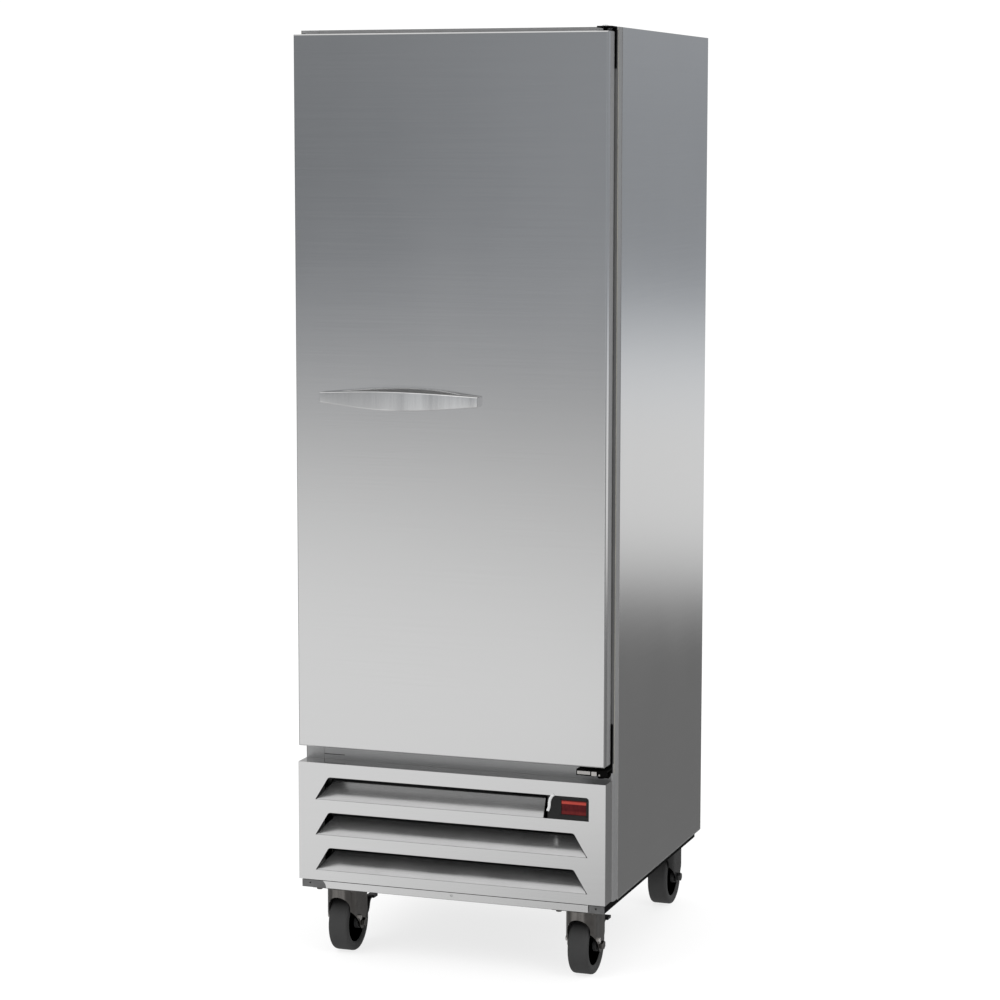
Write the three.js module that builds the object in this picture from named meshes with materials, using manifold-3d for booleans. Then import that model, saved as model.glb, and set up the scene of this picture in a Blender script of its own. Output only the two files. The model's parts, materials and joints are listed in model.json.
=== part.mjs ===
// One-door reach-in refrigerator on casters, in millimetres.
// +Z is up, the door faces -Y, and the floor is Z = 0.
// The model is built with Y = 0 on the cabinet's front face; the last lines move it so that
// the origin is under the middle of the whole object.
import * as THREE from "three";
import { mergeVertices } from "three/addons/utils/BufferGeometryUtils.js";
import Module from "manifold-3d";

const wasm = await Module();
wasm.setup();

// ---------- driving dimensions ----------
const sheet = 1.2; // thickness of the folded sheet metal
const gap = 0.3; // air between pieces that touch
const cabinet = { half: 346, depth: 680, top: 1966.5, skirt: 172.8 };
const frame = { width: 44, wrap: 28, corner: 3.5 };
const cavity = { half: 296, floor: 512, ceiling: 1918, back: 628 };
const mullion = { bottom: 424, shelf: 440 };
const door = { half: 339.5, bottom: 465.2, top: 1957.2, front: -50.2, back: -8.8, corner: 4 };
const hinge = { x: 327, y: -28, pin: 5, hole: 5.6, left: 333, right: 343, leg: 83, steel: 3 };
const hingeLedge = {
  top: { left: 312, bottom: 1963.5 },
  bottom: { left: 277, below: 7, drop: 12.5, bush: 18, steel: 4 },
};
const handle = { x: -105, z: 1210, length: 349, end: 21, middle: 39, reach: 53, root: 16, band: 8 };
const grille = { half: 342, bottom: 175, top: 429.8, front: -47 };
const grilleLip = { left: -300.5, right: 304, bottom: 157.5, set: 4 };
const louvre = {
  tops: [400, 323.3, 246.6], height: 49.5, lower: 303.5, upper: 273.5, corner: 5, lean: Math.PI / 4,
};
const control = { left: 212, right: 306, corner: 7 };
const endHole = { x: 320, z: 165.6, radius: 1.8 };
const base = { half: 338, bottom: 156, front: -36, back: 660, rim: 200, steel: 2 };
const caster = { x: 270, front: 23, rear: 617, lead: 30, radius: 63.5, tread: 44, height: 146 };
const yoke = { half: 33, wall: 3, rear: 65, roof: 4 };
const stem = { radius: 8, hole: 8.6, nut: 12 };
const pedal = { y: 72, z: 126, pin: 2.5, hole: 3 };
const shelf = { half: 284, front: 55, back: 600, heights: [820, 1150, 1480], rod: 7, wire: 4, wires: 11 };
const pilaster = { rows: [120, 530], width: 18, bottom: 570, top: 1760 };
const evaporator = { half: 200, front: 300, back: 600, bottom: 1832 };
const evaporatorFan = { x: 108, y: 450, radius: 72 };
const evaporatorIntake = { slots: 5, slot: 20, pitch: 36, inset: 30 };
const rearLouvre = { slots: 7, slot: 10, pitch: 26, bottom: 225, left: -240, right: 180 };
const condenser = { left: -280, right: 120, front: 4, back: 52, bottom: 170, top: 420 };
const condenserFan = { x: -80, z: 296, radius: 105, y: 78 };
const compressor = { x: -120, y: 430, radius: 78, height: 170, foot: 92 };
const pan = { x: [60, 310], y: [330, 600], wall: 2, height: 45 };
const inlet = { x: 262, z: 230, flange: 15, barrel: 8.5, nut: 14, bore: 4.5 };
const lens = { x0: 246, x1: 300, z0: 361, z1: 392, depth: 5.7 };
const handleFoot = 34; // length of each of the pull's solid feet
const rearReturn = 16; // width of the side panels' folded rear edges
const gasketHalf = 322;

// ---------- materials ----------
const metal = (color, roughness) =>
  new THREE.MeshStandardMaterial({ color, roughness, metalness: 0.9 });
const plain = (color, roughness) =>
  new THREE.MeshStandardMaterial({ color, roughness, metalness: 0 });
const stainless = metal(0xb9bbbd, 0.35);
const galvanised = metal(0x9a9c98, 0.5);
const aluminium = metal(0xc4c6c8, 0.4);
const zinc = metal(0xa9a59c, 0.35);
const copper = metal(0xb0744a, 0.4);
const blackSteel = plain(0x141414, 0.5);
const blackPlastic = plain(0x1b1b1c, 0.6);
const redLens = plain(0x5c1216, 0.15);
const foam = plain(0xe4dfbf, 0.9);
const whiteLiner = plain(0xd8dadb, 0.45);
const grayRubber = plain(0x6b6d6f, 0.8);
const tyreRubber = plain(0x3a3a3b, 0.85);

// ---------- solids ----------
function solid(geometry) {
  geometry.deleteAttribute("normal");
  geometry.deleteAttribute("uv");
  const merged = mergeVertices(geometry, 1e-4);
  return new wasm.Manifold(
    new wasm.Mesh({
      numProp: 3,
      vertProperties: merged.attributes.position.array,
      triVerts: new Uint32Array(merged.index.array),
    }),
  );
}

function geometryOf(body) {
  const mesh = body.getMesh();
  const geometry = new THREE.BufferGeometry();
  geometry.setAttribute("position", new THREE.BufferAttribute(mesh.vertProperties, 3));
  geometry.setIndex(new THREE.BufferAttribute(mesh.triVerts, 1));
  const faceted = geometry.toNonIndexed();
  faceted.computeVertexNormals();
  return faceted;
}

const union = (bodies) => bodies.reduce((sum, body) => sum.add(body));
const cut = (body, tools) => tools.reduce((rest, tool) => rest.subtract(tool), body);

function box(x0, x1, y0, y1, z0, z1) {
  const geometry = new THREE.BoxGeometry(x1 - x0, y1 - y0, z1 - z0);
  return solid(geometry.translate((x0 + x1) / 2, (y0 + y1) / 2, (z0 + z1) / 2));
}

// A round bar along one axis, from one end to the other; x, y and z give a point on its axis.
function rod(axis, radius, from, to, x, y, z, sides = 20) {
  const geometry = new THREE.CylinderGeometry(radius, radius, to - from, sides);
  const middle = (from + to) / 2;
  if (axis === "x") geometry.rotateZ(Math.PI / 2).translate(middle, y, z);
  if (axis === "y") geometry.translate(x, middle, z);
  if (axis === "z") geometry.rotateX(Math.PI / 2).translate(x, y, middle);
  return solid(geometry);
}

// An outline swept straight: along z its points are (x, y), along y (x, z), along x (y, z).
function sweep(axis, outline, from, to, curveSegments = 8) {
  const shape = outline instanceof THREE.Shape ? outline : new THREE.Shape(outline);
  const options = { depth: to - from, bevelEnabled: false, curveSegments };
  const geometry = new THREE.ExtrudeGeometry(shape, options);
  if (axis === "z") geometry.translate(0, 0, from);
  if (axis === "y") geometry.rotateX(Math.PI / 2).translate(0, to, 0);
  if (axis === "x") geometry.rotateY(Math.PI / 2).rotateX(Math.PI / 2).translate(from, 0, 0);
  return solid(geometry);
}

const points = (...pairs) => pairs.map(([u, v]) => new THREE.Vector2(u, v));

// A closed outline from [u, v, radius] corners, each rounded by its radius.
function rounded(corners) {
  const shape = new THREE.Shape();
  const count = corners.length;
  corners.forEach(([u, v, radius], i) => {
    const tip = new THREE.Vector2(u, v);
    const [before, after] = [i + count - 1, i + 1].map((k) => {
      const [x, y] = corners[k % count];
      return new THREE.Vector2(x, y).sub(tip).setLength(radius).add(tip);
    });
    if (i === 0) shape.moveTo(before.x, before.y);
    else shape.lineTo(before.x, before.y);
    if (radius > 0) shape.quadraticCurveTo(u, v, after.x, after.y);
  });
  return shape;
}

// A profile of [radius, height] pairs turned about Z and closed on itself.
function turned(pairs, segments) {
  return new THREE.LatheGeometry(points(...pairs), segments).rotateX(Math.PI / 2);
}

const model = new THREE.Group();

function piece(name, body, material, group = model) {
  const geometry = body instanceof THREE.BufferGeometry ? body : geometryOf(body);
  const mesh = new THREE.Mesh(geometry, material);
  mesh.name = name;
  group.add(mesh);
  return mesh;
}

const mirrored = (body, side) => (side < 0 ? body : body.mirror([1, 0, 0]));
const sides = { left: -1, right: 1 };

// ---------- cabinet shell ----------
// Face frame stile: a folded strip with a rounded front corner. It is drawn for the left side.
function stile() {
  const { half, top, skirt } = cabinet;
  const { width, wrap, corner } = frame;
  const outline = new THREE.Shape();
  outline.moveTo(-half + width, 0);
  outline.lineTo(-half + width, sheet);
  outline.lineTo(-half + corner, sheet);
  outline.absarc(-half + corner, corner, corner - sheet, -Math.PI / 2, -Math.PI, true);
  outline.lineTo(-half + sheet, wrap);
  outline.lineTo(-half, wrap);
  outline.lineTo(-half, corner);
  outline.absarc(-half + corner, corner, corner, Math.PI, Math.PI * 1.5, false);
  return sweep("z", outline, skirt, top, 5);
}

function sidePanel() {
  const { half, depth, top, skirt } = cabinet;
  const wall = box(-half, -half + sheet, frame.wrap + gap, depth, skirt, top);
  const fold = box(-half, -half + rearReturn, depth - sheet, depth, skirt, top);
  return wall.add(fold);
}

for (const [side, sign] of Object.entries(sides)) {
  piece(`${side}_stile`, mirrored(stile(), sign), stainless);
  piece(`${side}_side_panel`, mirrored(sidePanel(), sign), stainless);
}

const faceHalf = cabinet.half - frame.width - gap;
const skinHalf = cabinet.half - sheet - gap;

function header() {
  const { top } = cabinet;
  const face = box(-faceHalf, faceHalf, 0, sheet, cavity.ceiling, top);
  const lid = box(-faceHalf, faceHalf, 0, frame.wrap, top - sheet, top);
  const ears = box(-skinHalf, skinHalf, sheet + gap, frame.wrap, top - sheet, top);
  const corners = Object.values(sides).map((sign) =>
    box(sign * cabinet.half - 5, sign * cabinet.half + 5, -1, 6, top - 5, top + 5),
  );
  return union([face, lid, cut(ears, corners)]);
}
piece("header_rail", header(), stainless);

function bottomPanel() {
  const face = box(-faceHalf, faceHalf, 0, sheet, mullion.bottom, cavity.floor);
  const { shelf: level } = mullion;
  const floor = box(-faceHalf, faceHalf, 0, cabinet.depth - 12, level, level + sheet);
  return face.add(floor);
}
piece("bottom_panel", bottomPanel(), stainless);

function topPanel() {
  const rear = cabinet.depth - sheet - gap;
  return box(-skinHalf, skinHalf, frame.wrap + gap, rear, cabinet.top - sheet, cabinet.top);
}
piece("top_panel", topPanel(), stainless);

const backHalf = cabinet.half - rearReturn - gap;
function backPanel() {
  const high = cabinet.top - sheet - gap;
  return box(-backHalf, backHalf, cabinet.depth - sheet, cabinet.depth, mullion.shelf, high);
}
piece("back_panel", backPanel(), galvanised);

// The liner is one open-fronted box; the foam fills the space between it and the outer panels.
function liner(grow) {
  const { half, floor, ceiling, back } = cavity;
  return [-half - grow, half + grow, 0, back + grow, floor - grow, ceiling + grow];
}

function innerLiner() {
  const [x0, x1, , y1, z0, z1] = liner(sheet);
  const outer = box(x0, x1, sheet + gap, y1, z0, z1);
  const room = box(-cavity.half, cavity.half, 0, cavity.back, cavity.floor, cavity.ceiling);
  return outer.subtract(room);
}
piece("inner_liner", innerLiner(), aluminium);

function insulation() {
  const front = sheet + gap;
  const back = cabinet.depth - sheet - gap;
  const bottom = mullion.shelf + sheet + gap;
  const block = box(-skinHalf, skinHalf, front, back, bottom, cabinet.top - sheet - gap);
  // Room for the stiles' rounded corners and for the side panels' rear returns.
  const corner = (sign, inner, y0, y1) => {
    const span = [sign * inner, sign * (cabinet.half + 10)].sort((a, b) => a - b);
    return box(...span, y0, y1, 0, cabinet.top + 5);
  };
  const corners = Object.values(sides).flatMap((sign) => [
    corner(sign, cabinet.half - frame.corner - gap, -5, frame.corner + gap),
    corner(sign, cabinet.half - rearReturn - 1, back - gap, back + 5),
  ]);
  const [x0, x1, , y1, z0, z1] = liner(sheet + gap);
  return cut(block, [box(x0, x1, -5, y1, z0, z1), ...corners]);
}
piece("foam_insulation", insulation(), foam);

// ---------- shelving ----------
function pilasterStrip(row) {
  const { width, bottom, top } = pilaster;
  const face = cavity.half - gap;
  const strip = box(face - 3, face, row - width / 2, row + width / 2, bottom, top);
  const clips = shelf.heights.map((z) => {
    const under = z - shelf.rod / 2;
    return box(face - 12, face, row - 7, row + 7, under - 8, under - gap);
  });
  return union([strip, ...clips]);
}

for (const [side, sign] of Object.entries(sides)) {
  const [front, rear] = pilaster.rows;
  piece(`shelf_pilaster_front_${side}`, mirrored(pilasterStrip(front), -sign), galvanised);
  piece(`shelf_pilaster_rear_${side}`, mirrored(pilasterStrip(rear), -sign), galvanised);
}

function wireShelf(z) {
  const { half, front, back, rod: thick, wire, wires } = shelf;
  const r = thick / 2;
  const border = cut(box(-half, half, front, back, z - r, z + r), [
    box(-half + thick, half - thick, front + thick, back - thick, z - r - 1, z + r + 1),
  ]);
  const bars = [1 / 3, 2 / 3].map((t) => {
    const y = front + t * (back - front);
    return box(-half + 1, half - 1, y - r, y + r, z - r, z + r - wire / 2);
  });
  const pitch = (2 * half - thick) / (wires + 1);
  const grid = Array.from({ length: wires }, (_, i) => {
    const x = -half + thick / 2 + pitch * (i + 1);
    return box(x - wire / 2, x + wire / 2, front + 1, back - 1, z + r - wire, z + r - gap);
  });
  return union([border, ...bars, ...grid]);
}
shelf.heights.forEach((z, i) => piece(`wire_shelf_${i + 1}`, wireShelf(z), zinc));

// ---------- evaporator and light ----------
function evaporatorHousing() {
  const { half, front, back, bottom } = evaporator;
  const top = cavity.ceiling - gap;
  const shell = box(-half, half, front, back, bottom, top);
  const room = box(-half + 1.5, half - 1.5, front + 1.5, back - 1.5, bottom + 1.5, top + 5);
  const { x, y, radius } = evaporatorFan;
  const fanHole = rod("z", radius + 6, bottom - 5, bottom + 5, x, y, 0, 32);
  const { slots, slot, pitch, inset } = evaporatorIntake;
  const intakes = Array.from({ length: slots }, (_, i) => {
    const left = -half + inset + i * pitch;
    return box(left, left + slot, front + inset, back - inset, bottom - 5, bottom + 5);
  });
  return cut(shell, [room, fanHole, ...intakes]);
}
piece("evaporator_housing", evaporatorHousing(), aluminium);

function evaporatorCoil() {
  const { half, front, back, bottom } = evaporator;
  return box(-half + 12, 10, front + 20, back - 20, bottom + 12, cavity.ceiling - 8);
}
piece("evaporator_coil", evaporatorCoil(), copper);

// A fan on the Z axis: a hub and evenly spaced pitched blades.
function fanBlades(radius, hubRadius, thickness, count) {
  const blade = () => {
    const reach = radius - hubRadius + 4;
    const geometry = new THREE.BoxGeometry(reach, radius * 0.55, 2);
    return geometry.rotateX(0.45).translate(hubRadius - 4 + reach / 2, 0, 0);
  };
  const blades = Array.from({ length: count }, (_, i) => {
    const turn = (i / count) * Math.PI * 2;
    return solid(blade().rotateZ(turn));
  });
  const hub = rod("z", hubRadius, -thickness / 2, thickness / 2, 0, 0, 0, 24);
  return union([hub, ...blades]);
}

const coldFan = piece("evaporator_fan", fanBlades(evaporatorFan.radius, 18, 20, 5), blackPlastic);
coldFan.position.set(evaporatorFan.x, evaporatorFan.y, evaporator.bottom + 16);

function motor(bodyRadius, length, strutReach) {
  const can = rod("z", bodyRadius, 0, length, 0, 0, 0, 20);
  const strut = box(-strutReach, strutReach, -6, 6, length - 4, length);
  return can.add(strut);
}
const coldMotor = piece("evaporator_fan_motor", motor(24, 36, 80), blackSteel);
coldMotor.position.set(evaporatorFan.x, evaporatorFan.y, evaporator.bottom + 30);

function lightBar() {
  const top = cavity.ceiling - gap;
  const outline = new THREE.Shape();
  outline.moveTo(18, top);
  outline.lineTo(48, top);
  outline.absarc(33, top, 15, 0, Math.PI, true);
  return sweep("x", outline, -240, 240, 10);
}
piece("light_bar", lightBar(), whiteLiner);

// ---------- machine compartment ----------
function machineBase() {
  const { half, bottom, front, back, rim, steel } = base;
  const inner = half - steel;
  const tray = box(-half, half, front, back, bottom, rim);
  const room = box(-inner, inner, front + steel, back - steel, bottom + steel, rim + 5);
  const ledge = box(-skinHalf, -inner, frame.wrap + gap, back, rim - steel, rim);
  const ledges = Object.values(sides).map((sign) => mirrored(ledge, sign));
  const stileRoom = box(-half - 1, half + 1, front - 1, sheet + gap, cabinet.skirt - gap, rim + 1);
  return union([cut(tray, [room, stileRoom]), ...ledges]);
}
piece("machine_base", machineBase(), blackSteel);

// Bar across the front of the base, which the grille's lip is screwed to.
function crossMember() {
  const { x, z, radius } = endHole;
  const front = base.front - 4;
  const bar = box(-base.half, base.half, front, base.front - gap, base.bottom, grille.bottom - 3);
  const holes = Object.values(sides).map((sign) => rod("y", radius, -50, -20, sign * x, 0, z, 12));
  return cut(bar, holes);
}
piece("front_cross_member", crossMember(), galvanised);

// A louvre's tongue: it leans inwards and stays joined along its lower edge.
function tongue(bottom, lowerRight, upperRight) {
  const { height, lower, upper } = louvre;
  const outline = points([-lower + 2, 0], [lowerRight, 0], [upperRight, height], [-upper + 1, height]);
  const options = { depth: sheet, bevelEnabled: false };
  const geometry = new THREE.ExtrudeGeometry(new THREE.Shape(outline), options);
  geometry.rotateX(Math.PI / 2 - louvre.lean);
  return solid(geometry.translate(0, grille.front + sheet, bottom - gap));
}

function grillePanel() {
  const { half, bottom, top, front } = grille;
  const { left: lipLeft, right: lipRight, bottom: lip, set } = grilleLip;
  const { lower, upper, tops, height, corner } = louvre;
  const shell = box(-half, half, front, -0.5, bottom, top);
  const room = box(-half + sheet, half - sheet, front + sheet, 5, bottom - 5, top - sheet);
  const sill = box(lipLeft, lipRight, front, front + set + sheet, bottom, bottom + sheet);
  const drop = bottom + sheet - lip;
  const lipShape = new THREE.Shape();
  lipShape.moveTo(lipLeft, bottom + sheet);
  lipShape.absarc(lipLeft, lip, drop, Math.PI / 2, 0, true);
  lipShape.lineTo(lipRight, lip);
  lipShape.lineTo(lipRight, bottom + sheet);
  const lipPlate = sweep("y", lipShape, front + set, front + set + sheet, 6);

  // The top slot runs on into the controller's window, and its tongue stops short of it.
  const slots = [];
  const tongues = [];
  tops.forEach((slotTop, i) => {
    const { left: windowLeft, right: windowRight, corner: windowCorner } = control;
    const foot = slotTop - height;
    const [rightFoot, rightTop, rightCorner] = i === 0
      ? [windowRight, windowRight, windowCorner]
      : [lower, upper, corner];
    const [tongueFoot, tongueTop] = i === 0
      ? [windowLeft - 4, windowLeft - 10]
      : [lower - 2, upper - 1];
    const outline = rounded([
      [-lower, foot, 0],
      [-upper, slotTop, corner],
      [rightTop, slotTop, rightCorner],
      [rightFoot, foot, 0],
    ]);
    slots.push(sweep("y", outline, front - 5, front + sheet + 1, 4));
    tongues.push(tongue(foot, tongueFoot, tongueTop));
  });
  return union([cut(shell, [room, ...slots]), sill, lipPlate, ...tongues]);
}
piece("grille_panel", grillePanel(), stainless);

const rearCover = cabinet.depth - 10;

function rearGrille() {
  const { slots: count, slot, pitch, bottom, left, right } = rearLouvre;
  const front = rearCover;
  const panel = box(-backHalf, backHalf, front, front + sheet, cabinet.skirt, mullion.shelf - gap);
  const slots = Array.from({ length: count }, (_, i) => {
    const z = bottom + i * pitch;
    return box(left, right, front - 5, front + 5, z, z + slot);
  });
  const hole = rod("y", inlet.barrel + 0.5, front - 5, front + 5, inlet.x, 0, inlet.z, 20);
  return cut(panel, [...slots, hole]);
}
piece("rear_grille", rearGrille(), galvanised);

function powerInlet() {
  const { x, z, flange, barrel, nut, bore } = inlet;
  const y = rearCover;
  const ring = rod("y", flange, y + sheet + gap, cabinet.depth - 3, x, 0, z, 20);
  const tube = rod("y", barrel, y - 16, cabinet.depth - 2, x, 0, z, 20);
  const lockNut = rod("y", nut, y - 9, y - gap, x, 0, z, 6);
  return union([ring, tube, lockNut]).subtract(rod("y", bore, y - 30, y + 30, x, 0, z, 16));
}
piece("power_inlet", powerInlet(), blackPlastic);

const { left: cLeft, right: cRight, front: cFront, back: cBack } = condenser;
const coilBlock = box(cLeft, cRight, cFront, cBack, condenser.bottom, condenser.top);
piece("condenser_coil", coilBlock, blackSteel);

function shroud() {
  const { x, z, radius } = condenserFan;
  const plate = box(cLeft, cRight, cBack + gap, cBack + 2, condenser.bottom, condenser.top);
  const ring = rod("y", radius + 8, cBack + gap, cBack + 40, x, 0, z, 36);
  const hole = rod("y", radius + 6, cBack - 5, cBack + 45, x, 0, z, 36);
  return plate.add(ring).subtract(hole);
}
piece("condenser_shroud", shroud(), blackSteel);

const warmFan = piece("condenser_fan", fanBlades(condenserFan.radius, 24, 22, 5), aluminium);
warmFan.position.set(condenserFan.x, condenserFan.y, condenserFan.z);
warmFan.rotation.x = -Math.PI / 2;

const warmMotor = piece("condenser_fan_motor", motor(36, 58, 104), blackSteel);
warmMotor.position.set(condenserFan.x, condenserFan.y + 14, condenserFan.z);
warmMotor.rotation.x = -Math.PI / 2;

function compressorShell() {
  const { radius, height, foot } = compressor;
  const dome = [];
  const steps = 4;
  for (let i = 0; i <= steps; i += 1) {
    const a = (i / steps) * (Math.PI / 2);
    dome.push([radius * Math.cos(a), height - 50 + 50 * Math.sin(a)]);
  }
  dome[steps][0] = 0;
  const belt = radius + 3;
  const lowerHalf = [[0, 14], [radius * 0.7, 14], [radius, 34], [belt, 84], [belt, 90]];
  const shell = solid(turned([...lowerHalf, ...dome], 20));
  const reach = foot + 8;
  const across = box(-reach, reach, -12, 12, 6, 20);
  const along = box(-12, 12, -reach, reach, 6, 20);
  const grommets = [[foot, 0], [-foot, 0], [0, foot], [0, -foot]].map(([x, y]) =>
    rod("z", 9, 0, 8, x, y, 0, 12),
  );
  return union([shell, across, along, ...grommets]);
}
const pump = piece("compressor", compressorShell(), blackSteel);
pump.position.set(compressor.x, compressor.y, base.bottom + base.steel + gap);

function condensatePan() {
  const { x, y, wall, height } = pan;
  const floor = base.bottom + base.steel + gap;
  const tray = box(...x, ...y, floor, floor + height);
  const inside = [x[0] + wall, x[1] - wall, y[0] + wall, y[1] - wall];
  return tray.subtract(box(...inside, floor + wall, floor + height + 5));
}
piece("condensate_pan", condensatePan(), blackPlastic);

// ---------- controller ----------
const controlFront = grille.front + sheet + 0.5;

function controllerHousing() {
  const { left, right } = control;
  const { x0, x1, z0, z1, depth } = lens;
  const low = louvre.tops[0] - louvre.height - 8.5;
  const block = box(left + 4, right + 10, controlFront, -14, low, louvre.tops[0] + 9);
  const back = controlFront + depth + gap;
  const pocket = box(x0 - gap, x1 + gap, controlFront - 1, back, z0 - gap, z1 + gap);
  return block.subtract(pocket);
}
piece("controller_housing", controllerHousing(), blackPlastic);

function displayLens() {
  const { x0, x1, z0, z1, depth } = lens;
  return box(x0, x1, controlFront + 0.6, controlFront + depth, z0, z1);
}
piece("display_lens", displayLens(), redLens);

// ---------- hinges ----------
// A hinge is a bent strap: a ledge carries the pin, and a leg in the gap behind the door is
// fixed to the stile.
const hingeFront = hinge.y - 14;
const legBack = -0.8;
const legFront = legBack - hinge.steel;

function topHinge() {
  const { x, y, pin, left, right, leg, steel } = hinge;
  const { left: ledgeLeft, bottom } = hingeLedge.top;
  const ledgeTop = bottom + steel + 0.5;
  const ledge = box(ledgeLeft, right, hingeFront + 2, legBack, bottom, ledgeTop);
  const strap = box(left, right, legFront, legBack, cabinet.top - leg, ledgeTop);
  const post = rod("z", pin, door.top - 14, bottom + 1, x, y, 0, 24);
  const head = rod("z", pin + 1.5, bottom + 1, ledgeTop + 2.5, x, y, 0, 6);
  return union([ledge, strap, post, head]);
}
piece("top_hinge", topHinge(), blackSteel);

function bottomHinge() {
  const { x, y, pin, left, right, leg, steel } = hinge;
  const { left: armLeft, below, drop, bush: bushDrop, steel: thick } = hingeLedge.bottom;
  const top = door.bottom - below;
  const ledge = box(armLeft, right, hingeFront, legBack, top - thick, top);
  const lip = box(armLeft, right, hingeFront, hingeFront + steel, top - drop, top);
  const flange = box(armLeft, right, legFront, legBack, top - drop, top);
  const bush = rod("z", pin + 2.5, top - bushDrop, door.bottom - 1, x, y, 0, 24);
  const post = rod("z", pin, top - 1, door.bottom + 16, x, y, 0, 24);

  // The strap sweeps round from under the bush up into the gap behind the door.
  const radius = legBack - y;
  const centre = top - bushDrop + radius;
  const sweptStrap = new THREE.Shape();
  sweptStrap.moveTo(y, centre - radius);
  sweptStrap.absarc(y, centre, radius, -Math.PI / 2, 0, false);
  sweptStrap.lineTo(legBack, door.bottom + leg);
  sweptStrap.lineTo(legFront, door.bottom + leg);
  sweptStrap.absarc(y, centre, radius - steel, 0, -Math.PI / 2, true);
  const strap = sweep("x", sweptStrap, left, right, 8);
  return union([ledge, lip, flange, bush, post, strap]);
}
piece("bottom_hinge", bottomHinge(), blackSteel);

// ---------- door ----------
const pinHoles = [
  rod("z", hinge.hole, door.bottom - 5, door.bottom + 20, hinge.x, hinge.y, 0, 24),
  rod("z", hinge.hole, door.top - 18, door.top + 5, hinge.x, hinge.y, 0, 24),
];

function doorSkin() {
  const { half, bottom, top, front, back, corner } = door;
  const outline = new THREE.Shape();
  outline.moveTo(half, back);
  outline.lineTo(-half, back);
  outline.lineTo(-half, front + corner);
  outline.absarc(-half + corner, front + corner, corner, Math.PI, Math.PI * 1.5, false);
  outline.absarc(half - corner, front + corner, corner, Math.PI * 1.5, Math.PI * 2, false);
  const outer = sweep("z", outline, bottom, top, 6);
  const room = box(-half + sheet, half - sheet, front + sheet, back + 5, bottom + sheet, top - sheet);
  return cut(outer.subtract(room), pinHoles);
}
piece("door_skin", doorSkin(), stainless);

const doorInner = door.half - sheet - gap;
const doorLow = door.bottom + sheet + gap;
const doorHigh = door.top - sheet - gap;
const doorFill = (front, back) => box(-doorInner, doorInner, front, back, doorLow, doorHigh);
const doorFoam = doorFill(door.front + sheet + 3, door.back - sheet - gap);
piece("door_foam", cut(doorFoam, pinHoles), foam);
piece("door_inner_panel", doorFill(door.back - sheet, door.back), whiteLiner);

function gasket() {
  const half = gasketHalf;
  const lip = 20;
  const low = door.bottom + 17;
  const high = door.top - 17;
  const ring = box(-half, half, door.back + gap, -gap, low, high);
  return ring.subtract(box(-half + lip, half - lip, door.back, 1, low + lip, high - lip));
}
piece("door_gasket", gasket(), grayRubber);

// The pull is a band that bows out from two feet on the door; seen from the front it is a
// spindle, tallest in the middle.
function doorHandle() {
  const { x, z, length, end, middle, reach, root, band } = handle;
  const half = length / 2;
  const face = door.front - gap;
  const steps = 24;
  const bow = (t) => root + (reach - root) * Math.cos((t * Math.PI) / 2) ** 1.2;
  const throat = half - handleFoot; // half the clear span behind the band
  const outer = [];
  const inner = [];
  for (let i = 0; i <= steps; i += 1) {
    const t = -1 + (2 * i) / steps;
    const clear = bow(t) - root * Math.abs(t) ** 6 - band;
    outer.push([x + t * half, face - bow(t)]);
    inner.push([x + t * throat, face - Math.max(0, clear)]);
  }
  const rightFoot = [[x + half, face], [x + throat, face]];
  const leftFoot = [[x - throat, face], [x - half, face]];
  const plan = points(...outer, ...rightFoot, ...inner.slice(1, -1).reverse(), ...leftFoot);
  const low = [];
  const high = [];
  for (let i = 0; i <= steps; i += 1) {
    const t = -1 + (2 * i) / steps;
    const tall = end + (middle - end) * Math.cos((t * Math.PI) / 2) ** 1.1;
    low.push([x + t * half, z - tall / 2]);
    high.push([x + t * half, z + tall / 2]);
  }
  const front = points(...low, ...high.reverse());
  const bowed = sweep("z", plan, z - middle, z + middle);
  return bowed.intersect(sweep("y", front, face - reach - 5, face + 5));
}
piece("door_handle", doorHandle(), stainless);

// ---------- casters ----------
// Each caster is built about its swivel axis, with the floor at Z = 0 and the wheel behind it.

function casterPlate() {
  const top = base.bottom - gap;
  const plate = box(-50, 50, -50, 50, top - 4, top);
  const { height } = caster;
  const race = rod("z", 31, height + gap, top - 3, 0, 0, 0, 28);
  const kingpin = rod("z", stem.radius, height - 8, top - 1, 0, 0, 0, 20);
  const nut = rod("z", stem.nut, height - 11, height - yoke.roof - gap, 0, 0, 0, 6);
  const bolts = [[-38, -38], [38, -38], [-38, 38], [38, 38]].map(([x, y]) =>
    rod("z", 6.5, top - 9, top - 3, x, y, 0, 6),
  );
  return union([plate, race, kingpin, nut, ...bolts]);
}

function yokePlan(inset) {
  const half = yoke.half - inset;
  const back = yoke.rear - inset;
  const outline = new THREE.Shape();
  outline.moveTo(half, 0);
  outline.lineTo(half, back - 10);
  outline.absarc(half - 10, back - 10, 10, 0, Math.PI / 2, false);
  outline.lineTo(-half + 10, back);
  outline.absarc(-half + 10, back - 10, 10, Math.PI / 2, Math.PI, false);
  outline.lineTo(-half, 0);
  outline.absarc(0, 0, half, Math.PI, Math.PI * 2, false);
  return outline;
}

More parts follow.
